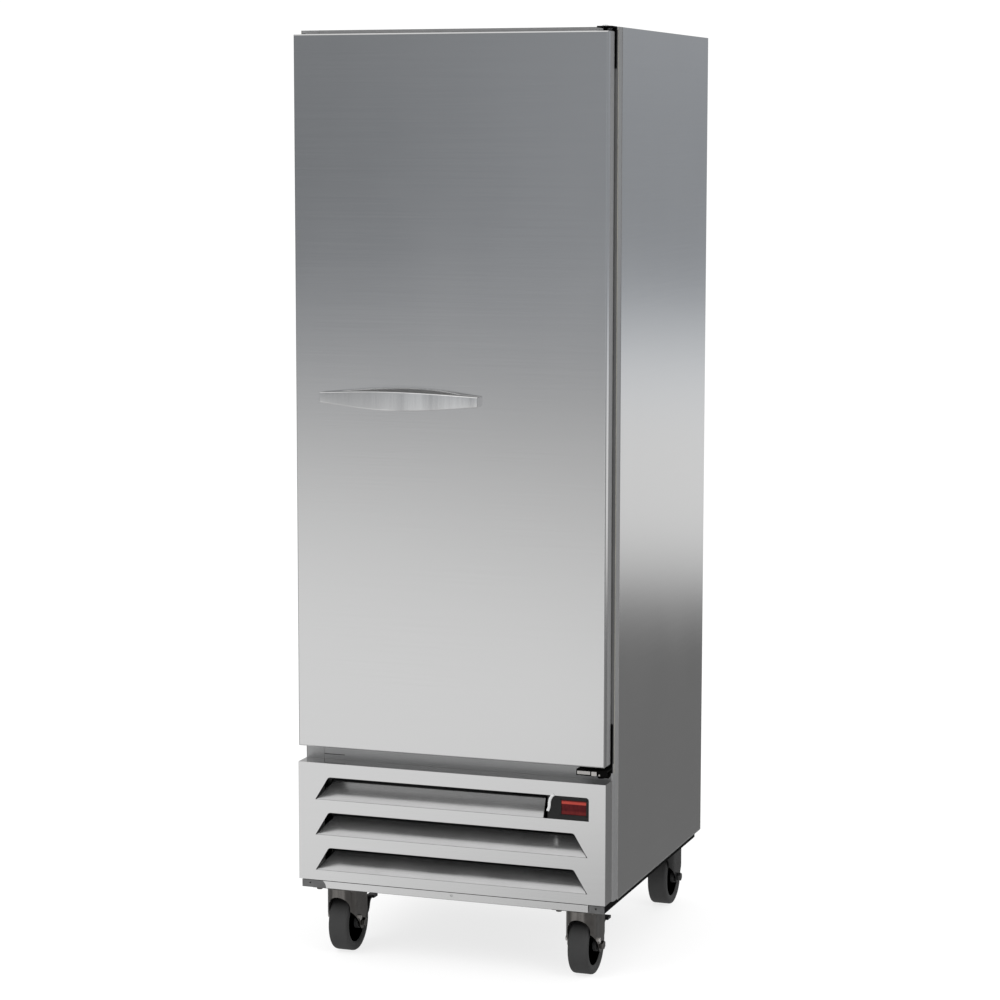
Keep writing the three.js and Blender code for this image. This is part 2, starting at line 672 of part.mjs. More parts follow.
function casterYoke(braked) {
  const { height, lead, radius } = caster;
  const outer = sweep("z", yokePlan(0), 40, height, 7);
  const room = sweep("z", yokePlan(yoke.wall), 0, height - yoke.roof, 7);
  const side = new THREE.Shape();
  side.moveTo(-60, height + 1);
  side.lineTo(-60, 104);
  side.lineTo(-20, 96);
  side.lineTo(lead - 15, radius);
  side.absarc(lead, radius, 15, Math.PI, Math.PI * 2, false);
  side.lineTo(66, 100);
  side.lineTo(66, height + 1);
  const profile = sweep("x", side, -60, 60, 6);
  const arch = new THREE.Shape();
  arch.moveTo(-25, 60);
  arch.lineTo(25, 60);
  arch.lineTo(25, 104);
  arch.absarc(0, 104, 25, 0, Math.PI, false);
  const tools = [
    room,
    sweep("y", arch, -80, 120, 6),
    rod("x", 6, -60, 60, 0, lead, radius, 16),
    rod("z", stem.hole, height - 10, height + 5, 0, 0, 0, 20),
  ];
  const shell = cut(outer.intersect(profile), tools);
  if (!braked) return shell;
  const { y, z, hole } = pedal;
  const ear = box(-23.5, -20.5, yoke.rear - yoke.wall, y + 6, z - 6, z + 8);
  const ears = Object.values(sides).map((sign) => mirrored(ear, sign));
  return cut(union([shell, ...ears]), [rod("x", hole, -40, 40, 0, y, z, 12)]);
}

function casterWheel() {
  const { radius, tread } = caster;
  const segments = 24;
  const flats = 1 / Math.cos(Math.PI / segments); // corner radius that puts the flats at the radius
  const half = tread / 2;
  const shoulder = 4;
  const slant = shoulder * 0.3;
  const hub = [[7, 27], [15, 27], [17, 12], [40, 9], [45, half - 2], [52, half]];
  const shoulders = [[radius - shoulder, half], [radius - slant, half - slant]];
  const face = [...hub, ...shoulders, [radius, half - shoulder]];
  const right = face.map(([r, x]) => [r * flats, x]).reverse();
  const left = right.map(([r, x]) => [r, -x]).reverse();
  const profile = [...right, ...left, right[0]];
  const wheel = new THREE.LatheGeometry(points(...profile), segments);
  return wheel.rotateY(Math.PI / segments).rotateZ(Math.PI / 2);
}

function casterAxle() {
  const { radius, lead } = caster;
  const edge = yoke.half + gap;
  const shank = rod("x", 5.5, -edge - 1, edge + 4, 0, lead, radius, 16);
  const head = rod("x", 9.5, -edge - 6, -edge, 0, lead, radius, 6);
  const nut = rod("x", 9.5, edge, edge + 7, 0, lead, radius, 6);
  return union([shank, head, nut]);
}

// The pedal's outline in the plane across its pivot: a barrel, an arm that drops behind the
// wheel and hooks up again, and a flat tread.
function brakePedal() {
  const { y, z, pin: pinRadius } = pedal;
  const centre = new THREE.CatmullRomCurve3([
    new THREE.Vector3(y, z, 0),
    new THREE.Vector3(y + 22, z - 20, 0),
    new THREE.Vector3(y + 38, z - 50, 0),
    new THREE.Vector3(y + 51, z - 70, 0),
    new THREE.Vector3(y + 61, z - 66, 0),
    new THREE.Vector3(y + 70, z - 46, 0),
    new THREE.Vector3(y + 82, z - 41, 0),
    new THREE.Vector3(y + 106, z - 43, 0),
  ]);
  const spine = centre.getPoints(18);
  const thick = 2;
  const offset = (sign) => spine.map((p, i) => {
    const a = spine[Math.max(0, i - 1)];
    const b = spine[Math.min(spine.length - 1, i + 1)];
    const run = new THREE.Vector2(b.x - a.x, b.y - a.y).normalize();
    return [p.x - sign * thick * run.y, p.y + sign * thick * run.x];
  });
  const strip = points(...offset(-1), ...offset(1).reverse());
  const arm = sweep("x", strip, -6, 6);
  const tread = box(-9, 9, y + 84, y + 106, z - 45, z - 39);
  const barrel = rod("x", 4.5, -20, 20, 0, y, z, 12);
  const pin = rod("x", pinRadius, -27, 27, 0, y, z, 12);
  return union([arm, tread, barrel, pin]);
}

for (const [end, y] of Object.entries({ front: caster.front, rear: caster.rear })) {
  for (const [side, sign] of Object.entries(sides)) {
    const unit = new THREE.Group();
    unit.position.set(sign * caster.x, y, 0);
    model.add(unit);
    const label = `${end}_${side}`;
    piece(`caster_plate_${label}`, casterPlate(), zinc, unit);
    piece(`caster_yoke_${label}`, casterYoke(end === "front"), zinc, unit);
    piece(`caster_axle_${label}`, casterAxle(), zinc, unit);
    const wheel = piece(`caster_wheel_${label}`, casterWheel(), tyreRubber, unit);
    wheel.position.set(0, caster.lead, caster.radius);
    if (end === "front") piece(`brake_pedal_${label}`, brakePedal(), blackSteel, unit);
  }
}

// ---------- origin ----------
const foremost = door.front - gap - handle.reach;
const rearmost = caster.rear + caster.lead + caster.radius;
model.position.y = -(foremost + rearmost) / 2;

export default model;
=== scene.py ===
# Looks for the reach-in refrigerator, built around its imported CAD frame. Metres throughout.
import json
import math

import bmesh
import bpy
from mathutils import Matrix, Vector


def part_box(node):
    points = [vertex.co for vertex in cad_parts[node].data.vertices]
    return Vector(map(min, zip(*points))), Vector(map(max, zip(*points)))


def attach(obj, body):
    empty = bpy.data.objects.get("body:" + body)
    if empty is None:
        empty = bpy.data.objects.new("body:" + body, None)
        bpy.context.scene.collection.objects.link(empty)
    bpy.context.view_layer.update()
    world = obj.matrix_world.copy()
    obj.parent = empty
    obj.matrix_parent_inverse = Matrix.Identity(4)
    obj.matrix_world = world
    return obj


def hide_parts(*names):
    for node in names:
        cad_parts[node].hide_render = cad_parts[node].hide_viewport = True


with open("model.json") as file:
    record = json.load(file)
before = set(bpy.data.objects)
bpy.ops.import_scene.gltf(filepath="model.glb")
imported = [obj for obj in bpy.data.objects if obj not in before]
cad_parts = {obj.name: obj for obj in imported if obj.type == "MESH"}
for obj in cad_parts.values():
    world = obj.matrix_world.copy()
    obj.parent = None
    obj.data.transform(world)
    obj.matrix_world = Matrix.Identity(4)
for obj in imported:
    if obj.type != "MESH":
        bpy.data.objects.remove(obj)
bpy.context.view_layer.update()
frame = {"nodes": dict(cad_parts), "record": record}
scene = bpy.context.scene
scene.view_settings.view_transform = "Standard"

MM = 0.001
RECORD = frame["record"]
SLOT_OF = {part["node"]: part["material_slot"] for part in RECORD["subparts"]}
BODY_OF = {node: body for body, nodes in RECORD["behaviour"]["bodies"].items() for node in nodes}
SIDES = ("left", "right")
CASTERS = [f"{end}_{side}" for end in ("front", "rear") for side in SIDES]
X, Y, Z = Vector((1, 0, 0)), Vector((0, 1, 0)), Vector((0, 0, 1))


# ---------- camera ----------
def make_camera():
    """The viewpoint in front and to the hinge side, looking a little down."""
    bearing, down, roll = (math.radians(angle) for angle in (19.3153, 7.199, 0.058))
    data = bpy.data.cameras.new("camera")
    data.sensor_width = 36.0
    data.lens = 102.70
    data.clip_end = 200.0
    camera = bpy.data.objects.new("camera", data)
    place = Matrix.Translation((2.0310, -5.8258, 1.7422))
    turn, tilt = Matrix.Rotation(bearing, 4, "Z"), Matrix.Rotation(math.pi / 2 - down, 4, "X")
    camera.matrix_world = place @ turn @ tilt @ Matrix.Rotation(roll, 4, "Z")
    scene.collection.objects.link(camera)
    scene.camera = camera


# ---------- node trees ----------
class Tree:
    """A node tree whose nodes are added with their settings and inputs in one call."""

    def __init__(self, owner):
        owner.use_nodes = True
        self.nodes, self.links = owner.node_tree.nodes, owner.node_tree.links

    def feed(self, socket, value):
        """Links the socket to another one, or sets a constant on it."""
        if isinstance(value, bpy.types.NodeSocket):
            self.links.new(value, socket)
        else:
            socket.default_value = value

    def add(self, kind, inputs=None, **settings):
        node = self.nodes.new("ShaderNode" + kind)
        for name, value in settings.items():
            setattr(node, name, value)
        for key, value in (inputs or {}).items():
            self.feed(node.inputs[key], value)
        return node

    def spread(self, value, low, high):
        """The value's place between low and high, from 0 to 1."""
        return self.add("MapRange", {"Value": value, "From Min": low, "From Max": high}).outputs[0]

    def mix(self, share, first, second, blend="MIX"):
        inputs = {"Factor": share, 6: first, 7: second}
        return self.add("Mix", inputs, data_type="RGBA", blend_type=blend).outputs[2]

    def ramp(self, position, stops):
        """A colour ramp with (position, value, coolness) stops."""
        node = self.add("ValToRGB", {0: position})
        elements = node.color_ramp.elements
        while len(elements) < len(stops):
            elements.new(0.5)
        for element, (place, value, cool) in zip(elements, stops):
            element.position = place
            element.color = (value * (1 - 0.045 * cool), value, value * (1 + 0.06 * cool), 1)
        return node.outputs[0]


# ---------- studio ----------
class Room(Tree):
    """What the metal mirrors: brightness by height, different in front, behind and beside."""

    LOW, HIGH = -0.32, 0.60

    def __init__(self):
        scene.world = bpy.data.worlds.new("studio")
        super().__init__(scene.world)
        self.nodes.clear()
        split = self.add("SeparateXYZ", {0: self.add("TexCoord").outputs["Generated"]})
        self.across = split.outputs["X"]
        self.height = self.spread(split.outputs["Z"], self.LOW, self.HIGH)
        backwards = self.add("Math", {0: split.outputs["Y"], 1: -1}, operation="MULTIPLY")
        bearing = self.add("Math", {0: self.across, 1: backwards.outputs[0]}, operation="ARCTAN2")
        self.turn = self.spread(bearing.outputs[0], -math.pi, math.pi)

    def by_height(self, stops):
        """Brightness from (elevation in degrees, value) pairs, cooler higher up."""
        span = self.HIGH - self.LOW
        return self.ramp(self.height, [((math.sin(math.radians(e)) - self.LOW) / span, value,
                                        max(0, min(1, (e + 6) / 3, (8 - e) / 3))) for e, value in stops])

    def by_turn(self, stops):
        """Brightness from (bearing in degrees from the front towards the hinge side, value)."""
        return self.ramp(self.turn, [((bearing + 180) / 360, value, 0) for bearing, value in stops])

    def finish(self, room, backdrop):
        path = self.add("LightPath")
        shown = self.mix(path.outputs["Is Camera Ray"], room, (backdrop, backdrop, backdrop, 1))
        background = self.add("Background", {"Color": shown})
        self.add("OutputWorld", {0: background.outputs[0]})


def make_world():
    room = Room()
    front_left = room.by_height([
        (-17, 0.92), (-10.2, 0.935), (-9.4, 0.945), (-8.6, 0.893), (-7.8, 0.853), (-7.0, 0.768), (-6.2, 0.68),
        (-5.4, 0.52), (-4.6, 0.46), (-3.8, 0.367), (-3.0, 0.315), (-2.2, 0.248), (-1.4, 0.238), (-0.6, 0.215),
        (1.8, 0.25), (8, 0.27), (16, 0.28), (22, 0.36), (30, 1.0),
    ])
    front_right = room.by_height([
        (-16.2, 0.5), (-15.3, 0.57), (-14.2, 0.817), (-12.6, 0.945), (-11, 0.935), (-10.2, 0.895),
        (-9.4, 0.845), (-8.6, 0.778), (-7.8, 0.714), (-7.0, 0.655), (-6.2, 0.568), (-5.4, 0.508),
        (-4.6, 0.435), (-3.8, 0.398), (-3.0, 0.36), (-2.2, 0.353), (-1.4, 0.335), (1.8, 0.364), (8, 0.28),
        (16, 0.28), (22, 0.36), (30, 1.0),
    ])
    front = room.mix(room.spread(room.across, -0.40, -0.29), front_left, front_right)
    bands = room.by_turn([
        (-180, 1), (-60, 0.8), (-45, 0.85), (-32, 0.9), (-26, 1), (-16, 1), (-12.5, 0.74), (-9, 1.1),
        (3, 1.2), (8, 0.82), (13, 1.2),
    ])
    front = room.mix(1.0, front, bands, "MULTIPLY")
    rear = room.by_height([
        (-18, 0.34), (-15.6, 0.18), (-11, 0.18), (-10.2, 0.165), (-9.4, 0.27), (-8.6, 0.62), (-7.8, 0.785),
        (-7.0, 0.80), (-6.2, 0.80), (-5.4, 0.79), (-4.6, 0.735), (-3.8, 0.585), (-3.0, 0.41), (-2.2, 0.347),
        (-1.4, 0.335), (0.2, 0.34), (1.8, 0.365), (8, 0.45), (20, 0.6), (30, 1.0),
    ])
    side = room.by_height([
        (-18, 0.38), (-13, 0.27), (-8, 0.33), (-5, 0.42), (-3, 0.36), (0, 0.34), (8, 0.30), (20, 0.45),
        (34, 1.0),
    ])
    ahead = room.by_turn([(-75, 0), (-60, 1), (28, 1), (40, 0)])
    behind = room.by_turn([(-165, 1), (-140, 0), (138, 0), (150, 1)])
    room.finish(room.mix(behind, room.mix(ahead, side, front), rear), 1.05)


def make_floor():
    """A pale disc that fades into the backdrop, so no horizon shows."""
    bm = bmesh.new()
    bmesh.ops.create_circle(bm, cap_ends=True, radius=9.0, segments=96)
    mesh = bpy.data.meshes.new("studio_floor")
    bm.to_mesh(mesh)
    bm.free()
    floor = bpy.data.objects.new("studio_floor", mesh)
    floor.location.z = -0.5 * MM
    scene.collection.objects.link(floor)
    material = bpy.data.materials.new("studio_floor")
    tree = Tree(material)
    shader = tree.nodes["Principled BSDF"]
    for socket, value in (("Base Color", (0.24, 0.24, 0.24, 1)), ("Roughness", 0.9),
                          ("Specular IOR Level", 0.0), ("Emission Color", (1, 1, 1, 1)),
                          ("Emission Strength", 0.78)):
        shader.inputs[socket].default_value = value
    far = tree.add("VectorMath", {0: tree.add("TexCoord").outputs["Object"]}, operation="LENGTH")
    reach = {"Value": far.outputs["Value"], "From Min": 1.2, "From Max": 4.5}
    fade = tree.add("MapRange", reach, interpolation_type="SMOOTHSTEP")
    clear = tree.add("BsdfTransparent")
    blend = tree.add("MixShader", {0: fade.outputs[0], 1: shader.outputs[0], 2: clear.outputs[0]})
    tree.feed(tree.nodes["Material Output"].inputs["Surface"], blend.outputs[0])
    mesh.materials.append(material)
    floor.visible_glossy = False


def area_light(name, place, aim_height, size, power):
    """A soft lamp, aimed at a height on the object's axis."""
    data = bpy.data.lights.new(name, "AREA")
    data.shape = "RECTANGLE"
    data.size, data.size_y = size
    data.energy = power
    lamp = bpy.data.objects.new(name, data)
    lamp.location = place
    lamp.rotation_euler = (aim_height * Z - Vector(place)).to_track_quat("-Z", "Y").to_euler()
    lamp.visible_glossy = False
    scene.collection.objects.link(lamp)


make_camera()
make_world()
make_floor()
area_light("key", (-2.5, -4.0, 4.5), 0.8, (4.0, 3.0), 170)
area_light("fill", (4.0, -2.0, 3.0), 0.8, (3.0, 3.0), 80)
area_light("back", (0.5, 4.5, 3.5), 1.0, (4.0, 2.0), 80)


# ---------- finishes ----------
FINISH = {}


class Finish(Tree):
    """A material whose colour, gloss and relief come from procedural textures, kept by name."""

    def __init__(self, name, **constants):
        FINISH[name] = bpy.data.materials.new(name)
        super().__init__(FINISH[name])
        self.shader = self.nodes["Principled BSDF"]
        for socket, value in constants.items():
            self.shader.inputs[socket.replace("_", " ")].default_value = value
        self.where = self.add("TexCoord").outputs["Object"]

    def placed(self, scale):
        """Object coordinates times a scale: a number, or one for each axis."""
        scale = (scale,) * 3 if isinstance(scale, (int, float)) else scale
        return self.add("Mapping", {"Vector": self.where, "Scale": scale}).outputs[0]

    def noise(self, scale, detail=4.0):
        inputs = {"Vector": self.placed(scale), "Scale": 1.0, "Detail": detail, "Roughness": 0.55}
        return self.spread(self.add("TexNoise", inputs).outputs[0], 0.3, 0.7)

    def cells(self, scale):
        node = self.add("TexVoronoi", {"Vector": self.placed(scale), "Scale": 1.0})
        return self.add("SeparateColor", {0: node.outputs["Color"]}).outputs[0]

    def stripes(self, direction, pitch):
        """A smooth ripple of that pitch along one axis."""
        inputs = {"Vector": self.placed(math.pi / 10 / pitch), "Scale": 1.0, "Distortion": 0.0}
        return self.add("TexWave", inputs, bands_direction=direction).outputs["Fac"]

    def mixed(self, first, second, share=0.5):
        return self.add("Mix", {"Factor": share, 2: first, 3: second}).outputs[0]

    def tint(self, value, low, high):
        self.feed(self.shader.inputs["Base Color"], self.mix(value, (*low, 1), (*high, 1)))

    def gloss(self, value, low, high):
        node = self.add("MapRange", {"Value": value, "To Min": low, "To Max": high})
        self.feed(self.shader.inputs["Roughness"], node.outputs[0])

    def relief(self, value, depth, strength=1.0):
        node = self.add("Bump", {"Height": value, "Strength": strength, "Distance": depth})
        self.feed(self.shader.inputs["Normal"], node.outputs[0])


def brushed(name, low, high, rough, grain=(4, 4, 1400), smudge=0.02):
    """Brushed sheet: long fine scratches one way, and faint broad smudges."""
    finish = Finish(name, Metallic=1.0)
    scratches = finish.noise(grain, detail=3.0)
    broad = finish.noise((5, 5, 3), detail=2.0)
    finish.tint(finish.mixed(scratches, broad, 0.3), low, high)
    finish.gloss(finish.mixed(scratches, broad, 0.4), rough - smudge, rough + smudge)
    finish.relief(scratches, 0.008 * MM, 0.4)


def coated(name, low, high, rough, grain=700, depth=0.05, **constants):
    """Powder coat, moulded plastic or rubber: a fine pebbled surface with a little tone change."""
    finish = Finish(name, **constants)
    pebbles = finish.noise(grain, detail=2.0)
    broad = finish.noise(14)
    finish.tint(finish.mixed(pebbles, broad, 0.6), low, high)
    finish.gloss(finish.mixed(pebbles, broad), rough - 0.07, rough + 0.07)
    finish.relief(pebbles, depth * MM, 0.6)


def grey(value, warm=0.0):
    return (value * (1 + warm), value, value * (1 - warm))


def spangled(name, low, high):
    """Zinc-dipped sheet with crystals a centimetre across."""
    finish = Finish(name, Metallic=1.0)
    crystals = finish.mixed(finish.cells(110), finish.cells(45), 0.45)
    finish.tint(crystals, grey(low), grey(high))
    finish.gloss(crystals, 0.30, 0.48)
    finish.relief(finish.noise(60), 0.02 * MM, 0.3)


def finned(name, low, high, metallic):
    """The edges of upright fins packed side by side."""
    finish = Finish(name, Metallic=metallic)
    fins = finish.stripes("X", 2.4 * MM)
    finish.tint(finish.mixed(fins, finish.noise(40), 0.3), low, high)
    finish.gloss(finish.noise(90), 0.35, 0.5)
    finish.relief(fins, 0.8 * MM)


def lens_finish():
    """Tinted window: dark red, a painted highlight band near its top, a faint lighter band near its bottom,
    with moulded ribs.
    """
    low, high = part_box("display_lens")
    finish = Finish("red_lens", Specular_IOR_Level=0.1)
    split = finish.add("SeparateXYZ", {0: finish.where})
    height = finish.spread(split.outputs["Z"], low.z, high.z)
    # Painted highlight: the bright band high on the lens stands in for the light reflected along its top.
    highlight_band = finish.ramp(height, [(0.0, 0.03, 0), (0.08, 0.15, 0), (0.22, 0.12, 0), (0.30, 0.02, 0),
                               (0.70, 0.04, 0), (0.76, 1.0, 0), (0.88, 0.8, 0), (0.95, 0.04, 0)])
    highlight_mottled = finish.mixed(highlight_band, finish.noise((240, 240, 60)), 0.08)
    finish.tint(highlight_mottled, (0.040, 0.003, 0.006), (0.42, 0.06, 0.045))
    finish.gloss(finish.noise(300), 0.3, 0.4)
    finish.relief(finish.stripes("X", 3.5 * MM), 0.1 * MM, 0.4)


brushed("stainless", grey(0.66), grey(0.70), 0.12)
brushed("stainless_top", grey(0.66), grey(0.70), 0.18, (4, 1400, 4))
coated("louvre_steel", grey(0.56), grey(0.64), 0.19, (6, 6, 900), 0.005, Metallic=0.88)
brushed("satin_steel", grey(0.50), grey(0.58), 0.48, (60, 60, 900), 0.05)
brushed("handle_metal", grey(0.74), grey(0.82), 0.15, (300, 12, 12), 0.04)
spangled("galvanised", 0.44, 0.66)
# A darker copy of the galvanised finish: painted shade, for the front cross member low in the machine
# compartment.
spangled("galvanised_shaded", 0.17, 0.27)
coated("aluminium", grey(0.66), grey(0.76), 0.33, 260, 0.06, Metallic=1.0)
coated("shelf_wire", grey(0.56), grey(0.64), 0.30, 900, 0.02, Coat_Weight=0.4)
finned("coil_fins", (0.30, 0.20, 0.13), (0.72, 0.55, 0.42), 1.0)
finned("condenser_fins", grey(0.012), grey(0.08), 0.2)
coated("copper", (0.52, 0.23, 0.12), (0.72, 0.36, 0.20), 0.28, 500, 0.01, Metallic=1.0)
coated("black_steel", grey(0.002), grey(0.004), 0.5, Specular_IOR_Level=0.01)
coated("black_plastic", grey(0.008), grey(0.015), 0.50, 1200, 0.03, Specular_IOR_Level=0.3)
lens_finish()
coated("foam", (0.62, 0.56, 0.36), (0.80, 0.75, 0.54), 0.85, 420, 0.5)
coated("white_liner", grey(0.60), grey(0.66), 0.32, 500, 0.04, Coat_Weight=0.2)
coated("gasket_rubber", grey(0.075), grey(0.11), 0.55, 900, 0.04)
brushed("zinc", grey(0.50, 0.03), grey(0.66, 0.03), 0.24, (60, 60, 60), 0.06)
brushed("dark_zinc", grey(0.13, 0.05), grey(0.20, 0.05), 0.17, (60, 60, 60), 0.05)
# A darker copy of the caster zinc for the rear casters: painted shade under the back of the cabinet.
brushed("rear_zinc_shaded", grey(0.06), grey(0.10), 0.25, (60, 60, 60), 0.05)
coated("tyre", grey(0.030), grey(0.044), 0.62, 520, 0.10, Specular_IOR_Level=0.3)
coated("wheel_core", grey(0.018), grey(0.028), 0.42, 800, 0.05, Specular_IOR_Level=0.3)
coated("pedal_steel", grey(0.004), grey(0.009), 0.38, 600, 0.03, Specular_IOR_Level=0.25)


# ---------- mesh tools ----------
def mm(*pairs):
    """Pairs of lengths in millimetres, in metres."""
    return [(first * MM, second * MM) for first, second in pairs]


def rounded_loop(half, low, high, corner):
    """A rectangle with round corners, centred across and from low to high."""
    right, upper, lower = half - corner, high - corner, low + corner
    points = []
    for quarter, (u, v) in enumerate(((right, upper), (-right, upper), (-right, lower), (right, lower))):
        for i in range(7):
            a = math.radians(90 * quarter + 15 * i)
            points.append((u + corner * math.cos(a), v + corner * math.sin(a)))
    return points


def upright_loop(inset, y, corner, low, high):
    """A rounded rectangle in an upright plane, set in from a box's outline."""
    outline = rounded_loop(high.x - inset, low.z + inset, high.z - inset, corner)
    return [Vector((x, y, z)) for x, z in outline]


def add_box(bm, first, second, bevel=0.0, segments=2):
    """A block between two opposite corners, with rounded edges."""
    low, high = Vector([*map(min, first, second)]), Vector([*map(max, first, second)])
    made = bmesh.ops.create_cube(bm, size=1.0)["verts"]
    place = Matrix.Translation((low + high) / 2) @ Matrix.Diagonal((*(high - low), 1))
    bmesh.ops.transform(bm, matrix=place, verts=made)
    if bevel:
        edges = list({edge for vert in made for edge in vert.link_edges})
        bmesh.ops.bevel(bm, geom=edges, offset=bevel, segments=segments, profile=0.5,
                        affect="EDGES", clamp_overlap=True)


def add_rings(bm, rings, closed=False):
    """A skin over equal rings of points; one-point rings close an end."""
    made = [[bm.verts.new(point) for point in ring] for ring in rings]
    pairs = [*zip(made, made[1:])] + ([(made[-1], made[0])] if closed else [])
    count = max(len(ring) for ring in made)
    for first, second in pairs:
        for i in range(count):
            j = (i + 1) % count
            corners = [first[i % len(first)], first[j % len(first)],
                       second[j % len(second)], second[i % len(second)]]
            unique = list(dict.fromkeys(corners))
            if len(unique) > 2:
                bm.faces.new(unique)
    if not closed:
        for ring in (made[0], made[-1]):
            if len(ring) > 2:
                bm.faces.new(ring)


def add_lathe(bm, profile, origin, axis, segments=40):
    """A profile of (radius, height) pairs turned about an axis through origin."""
    basis = axis.normalized().to_track_quat("Z", "Y").to_matrix()
    turns = [2 * math.pi * i / segments for i in range(segments)]
    rings = []
    for radius, height in profile:
        spokes = turns if radius > 1e-7 else turns[:1]
        rings.append([Vector(origin) + basis @ Vector((radius * math.cos(a), radius * math.sin(a), height))
                      for a in spokes])
    add_rings(bm, rings)


def add_tube(bm, path, radius, sides=10, closed=False):
    """A round bar along a path."""
    path = [Vector(point) for point in path]
    count = len(path)
    normal = None
    rings = []
    for i, point in enumerate(path):
        before = path[i - 1] if i or closed else path[0]
        after = path[(i + 1) % count] if i < count - 1 or closed else path[-1]
        along = (after - before).normalized()
        if normal is None:
            normal = along.orthogonal().normalized()
        normal = (normal - along * normal.dot(along)).normalized()
        other = along.cross(normal)
        rings.append([point + radius * (math.cos(a) * normal + math.sin(a) * other)
                      for a in (2 * math.pi * k / sides for k in range(sides))])
    add_rings(bm, rings, closed)


def add_hex(bm, origin, axis, across, height):
    """A hexagon nut or head with a chamfered outer face."""
    r = across / math.sqrt(3)
    add_lathe(bm, [(0, 0), (r, 0), (r, height * 0.8), (r * 0.86, height), (r * 0.5, height),
                   (r * 0.42, height * 0.85), (0, height * 0.85)], origin, axis, 6)


def add_screw(bm, origin, axis, radius, height):
    """A domed screw head with a six-sided socket."""
    add_lathe(bm, [(0, 0), (radius, 0), (radius * 0.96, height * 0.45), (radius * 0.72, height * 0.88),
                   (radius * 0.45, height), (radius * 0.36, height * 0.35), (0, height * 0.3)],
              origin, axis, 18)


def add_blades(bm, centre, axis, hub, tip, depth, count, chord):
    """Curved fan blades, steeper at the hub than at the tip, within a depth along the axis."""
    basis = axis.to_track_quat("Z", "Y").to_matrix()
    rows, cols, thick = 7, 8, 0.7 * MM
    for k in range(count):
        base_turn = 2 * math.pi * k / count
        sheets = []
        for side in (-1, 1):
            sheet = []
            for i in range(rows + 1):
                t = i / rows
                radius = hub + (tip - hub) * t
                half = 0.5 * chord * (0.72 + 0.28 * math.sin(math.pi * min(1, t * 1.2)))
                rise = min(depth / 2 - thick, half * math.tan(math.radians(34 - 14 * t)))
                line = []
                for j in range(cols + 1):
                    s = -1 + 2 * j / cols
                    turn = base_turn + s * half / radius * 0.9 + 0.12 * t
                    lift = rise * s + side * thick
                    line.append(Vector(centre) + basis @ Vector((radius * math.cos(turn),
                                                                 radius * math.sin(turn), lift)))
                sheet.append(line)
            sheets.append([[bm.verts.new(point) for point in line] for line in sheet])
        lower, upper = sheets
        for i in range(rows):
            for j in range(cols):
                bm.faces.new([lower[i][j], lower[i][j + 1], lower[i + 1][j + 1], lower[i + 1][j]])
                bm.faces.new([upper[i][j], upper[i + 1][j], upper[i + 1][j + 1], upper[i][j + 1]])
        rim = [(0, j) for j in range(cols)] + [(i, cols) for i in range(rows)]
        rim += [(rows, j) for j in range(cols, 0, -1)] + [(i, 0) for i in range(rows, 0, -1)]
        for (a, b), (c, d) in zip(rim, rim[1:] + rim[:1]):
            bm.faces.new([lower[a][b], upper[a][b], upper[c][d], lower[c][d]])


def publish(bm, name, node, finish=None, replaces=(), smooth=35.0):
    """Turns a finished mesh into a named piece that rides with a node's body, in the given finish or else its
    slot's finish.
    """
    body, slot = BODY_OF[node], SLOT_OF[node]
    bmesh.ops.recalc_face_normals(bm, faces=bm.faces)
    mesh = bpy.data.meshes.new(name)
    bm.to_mesh(mesh)
    bm.free()
    mesh.shade_smooth()
    mesh.set_sharp_from_angle(angle=math.radians(smooth))
    mesh.materials.append(FINISH[finish or slot])
    piece = bpy.data.objects.new(name, mesh)
    scene.collection.objects.link(piece)
    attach(piece, body)
    if replaces:
        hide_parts(*replaces)
    level = piece.modifiers.new("level", "WEIGHTED_NORMAL")
    level.keep_sharp = True
    return piece


def cad_mesh(node):
    """A working copy of a CAD node's mesh, with its flat faces whole again."""
    bm = bmesh.new()
    bm.from_mesh(frame["nodes"][node].data)
    bmesh.ops.remove_doubles(bm, verts=bm.verts, dist=1e-6)
    bmesh.ops.dissolve_limit(bm, angle_limit=math.radians(0.6), verts=bm.verts, edges=bm.edges)
    return bm


def refined(node, width, finish=None, extra=None, segments=2, smooth=35.0):
    """The CAD node's own shape with rounded edges, and any extra detail on it."""
    piece = publish(cad_mesh(node), f"{node}_formed", node, finish, [node], smooth)
    bevel = piece.modifiers.new("rounded", "BEVEL")
    bevel.width = width * MM
    bevel.segments = segments
    bevel.limit_method = "ANGLE"
    bevel.angle_limit = math.radians(30)
    bevel.use_clamp_overlap = True
    piece.modifiers.move(1, 0)
    if extra:
        added(extra, f"{node}_detail", node, finish)


def added(build, name, node, finish=None, replaces=(), smooth=35.0):
    """A piece built from nothing, beside a node or in its place."""
    bm = bmesh.new()
    build(bm)
    publish(bm, name, node, finish, replaces, smooth)


def formed(build, node, finish=None, smooth=35.0, name=None):
    """A piece built from nothing in a node's place."""
    added(build, name or f"{node}_formed", node, finish, [node], smooth)


BOX = {node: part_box(node) for node in frame["nodes"]}


def middle(node):
    low, high = BOX[node]
    return (low + high) / 2


# ---------- cabinet ----------
SIDE_FACE = BOX["right_side_panel"][1].x
FRONT_FACE = BOX["right_stile"][0].y
CAVITY_HALF = BOX["inner_liner"][1].x
DOOR = BOX["door_skin"]


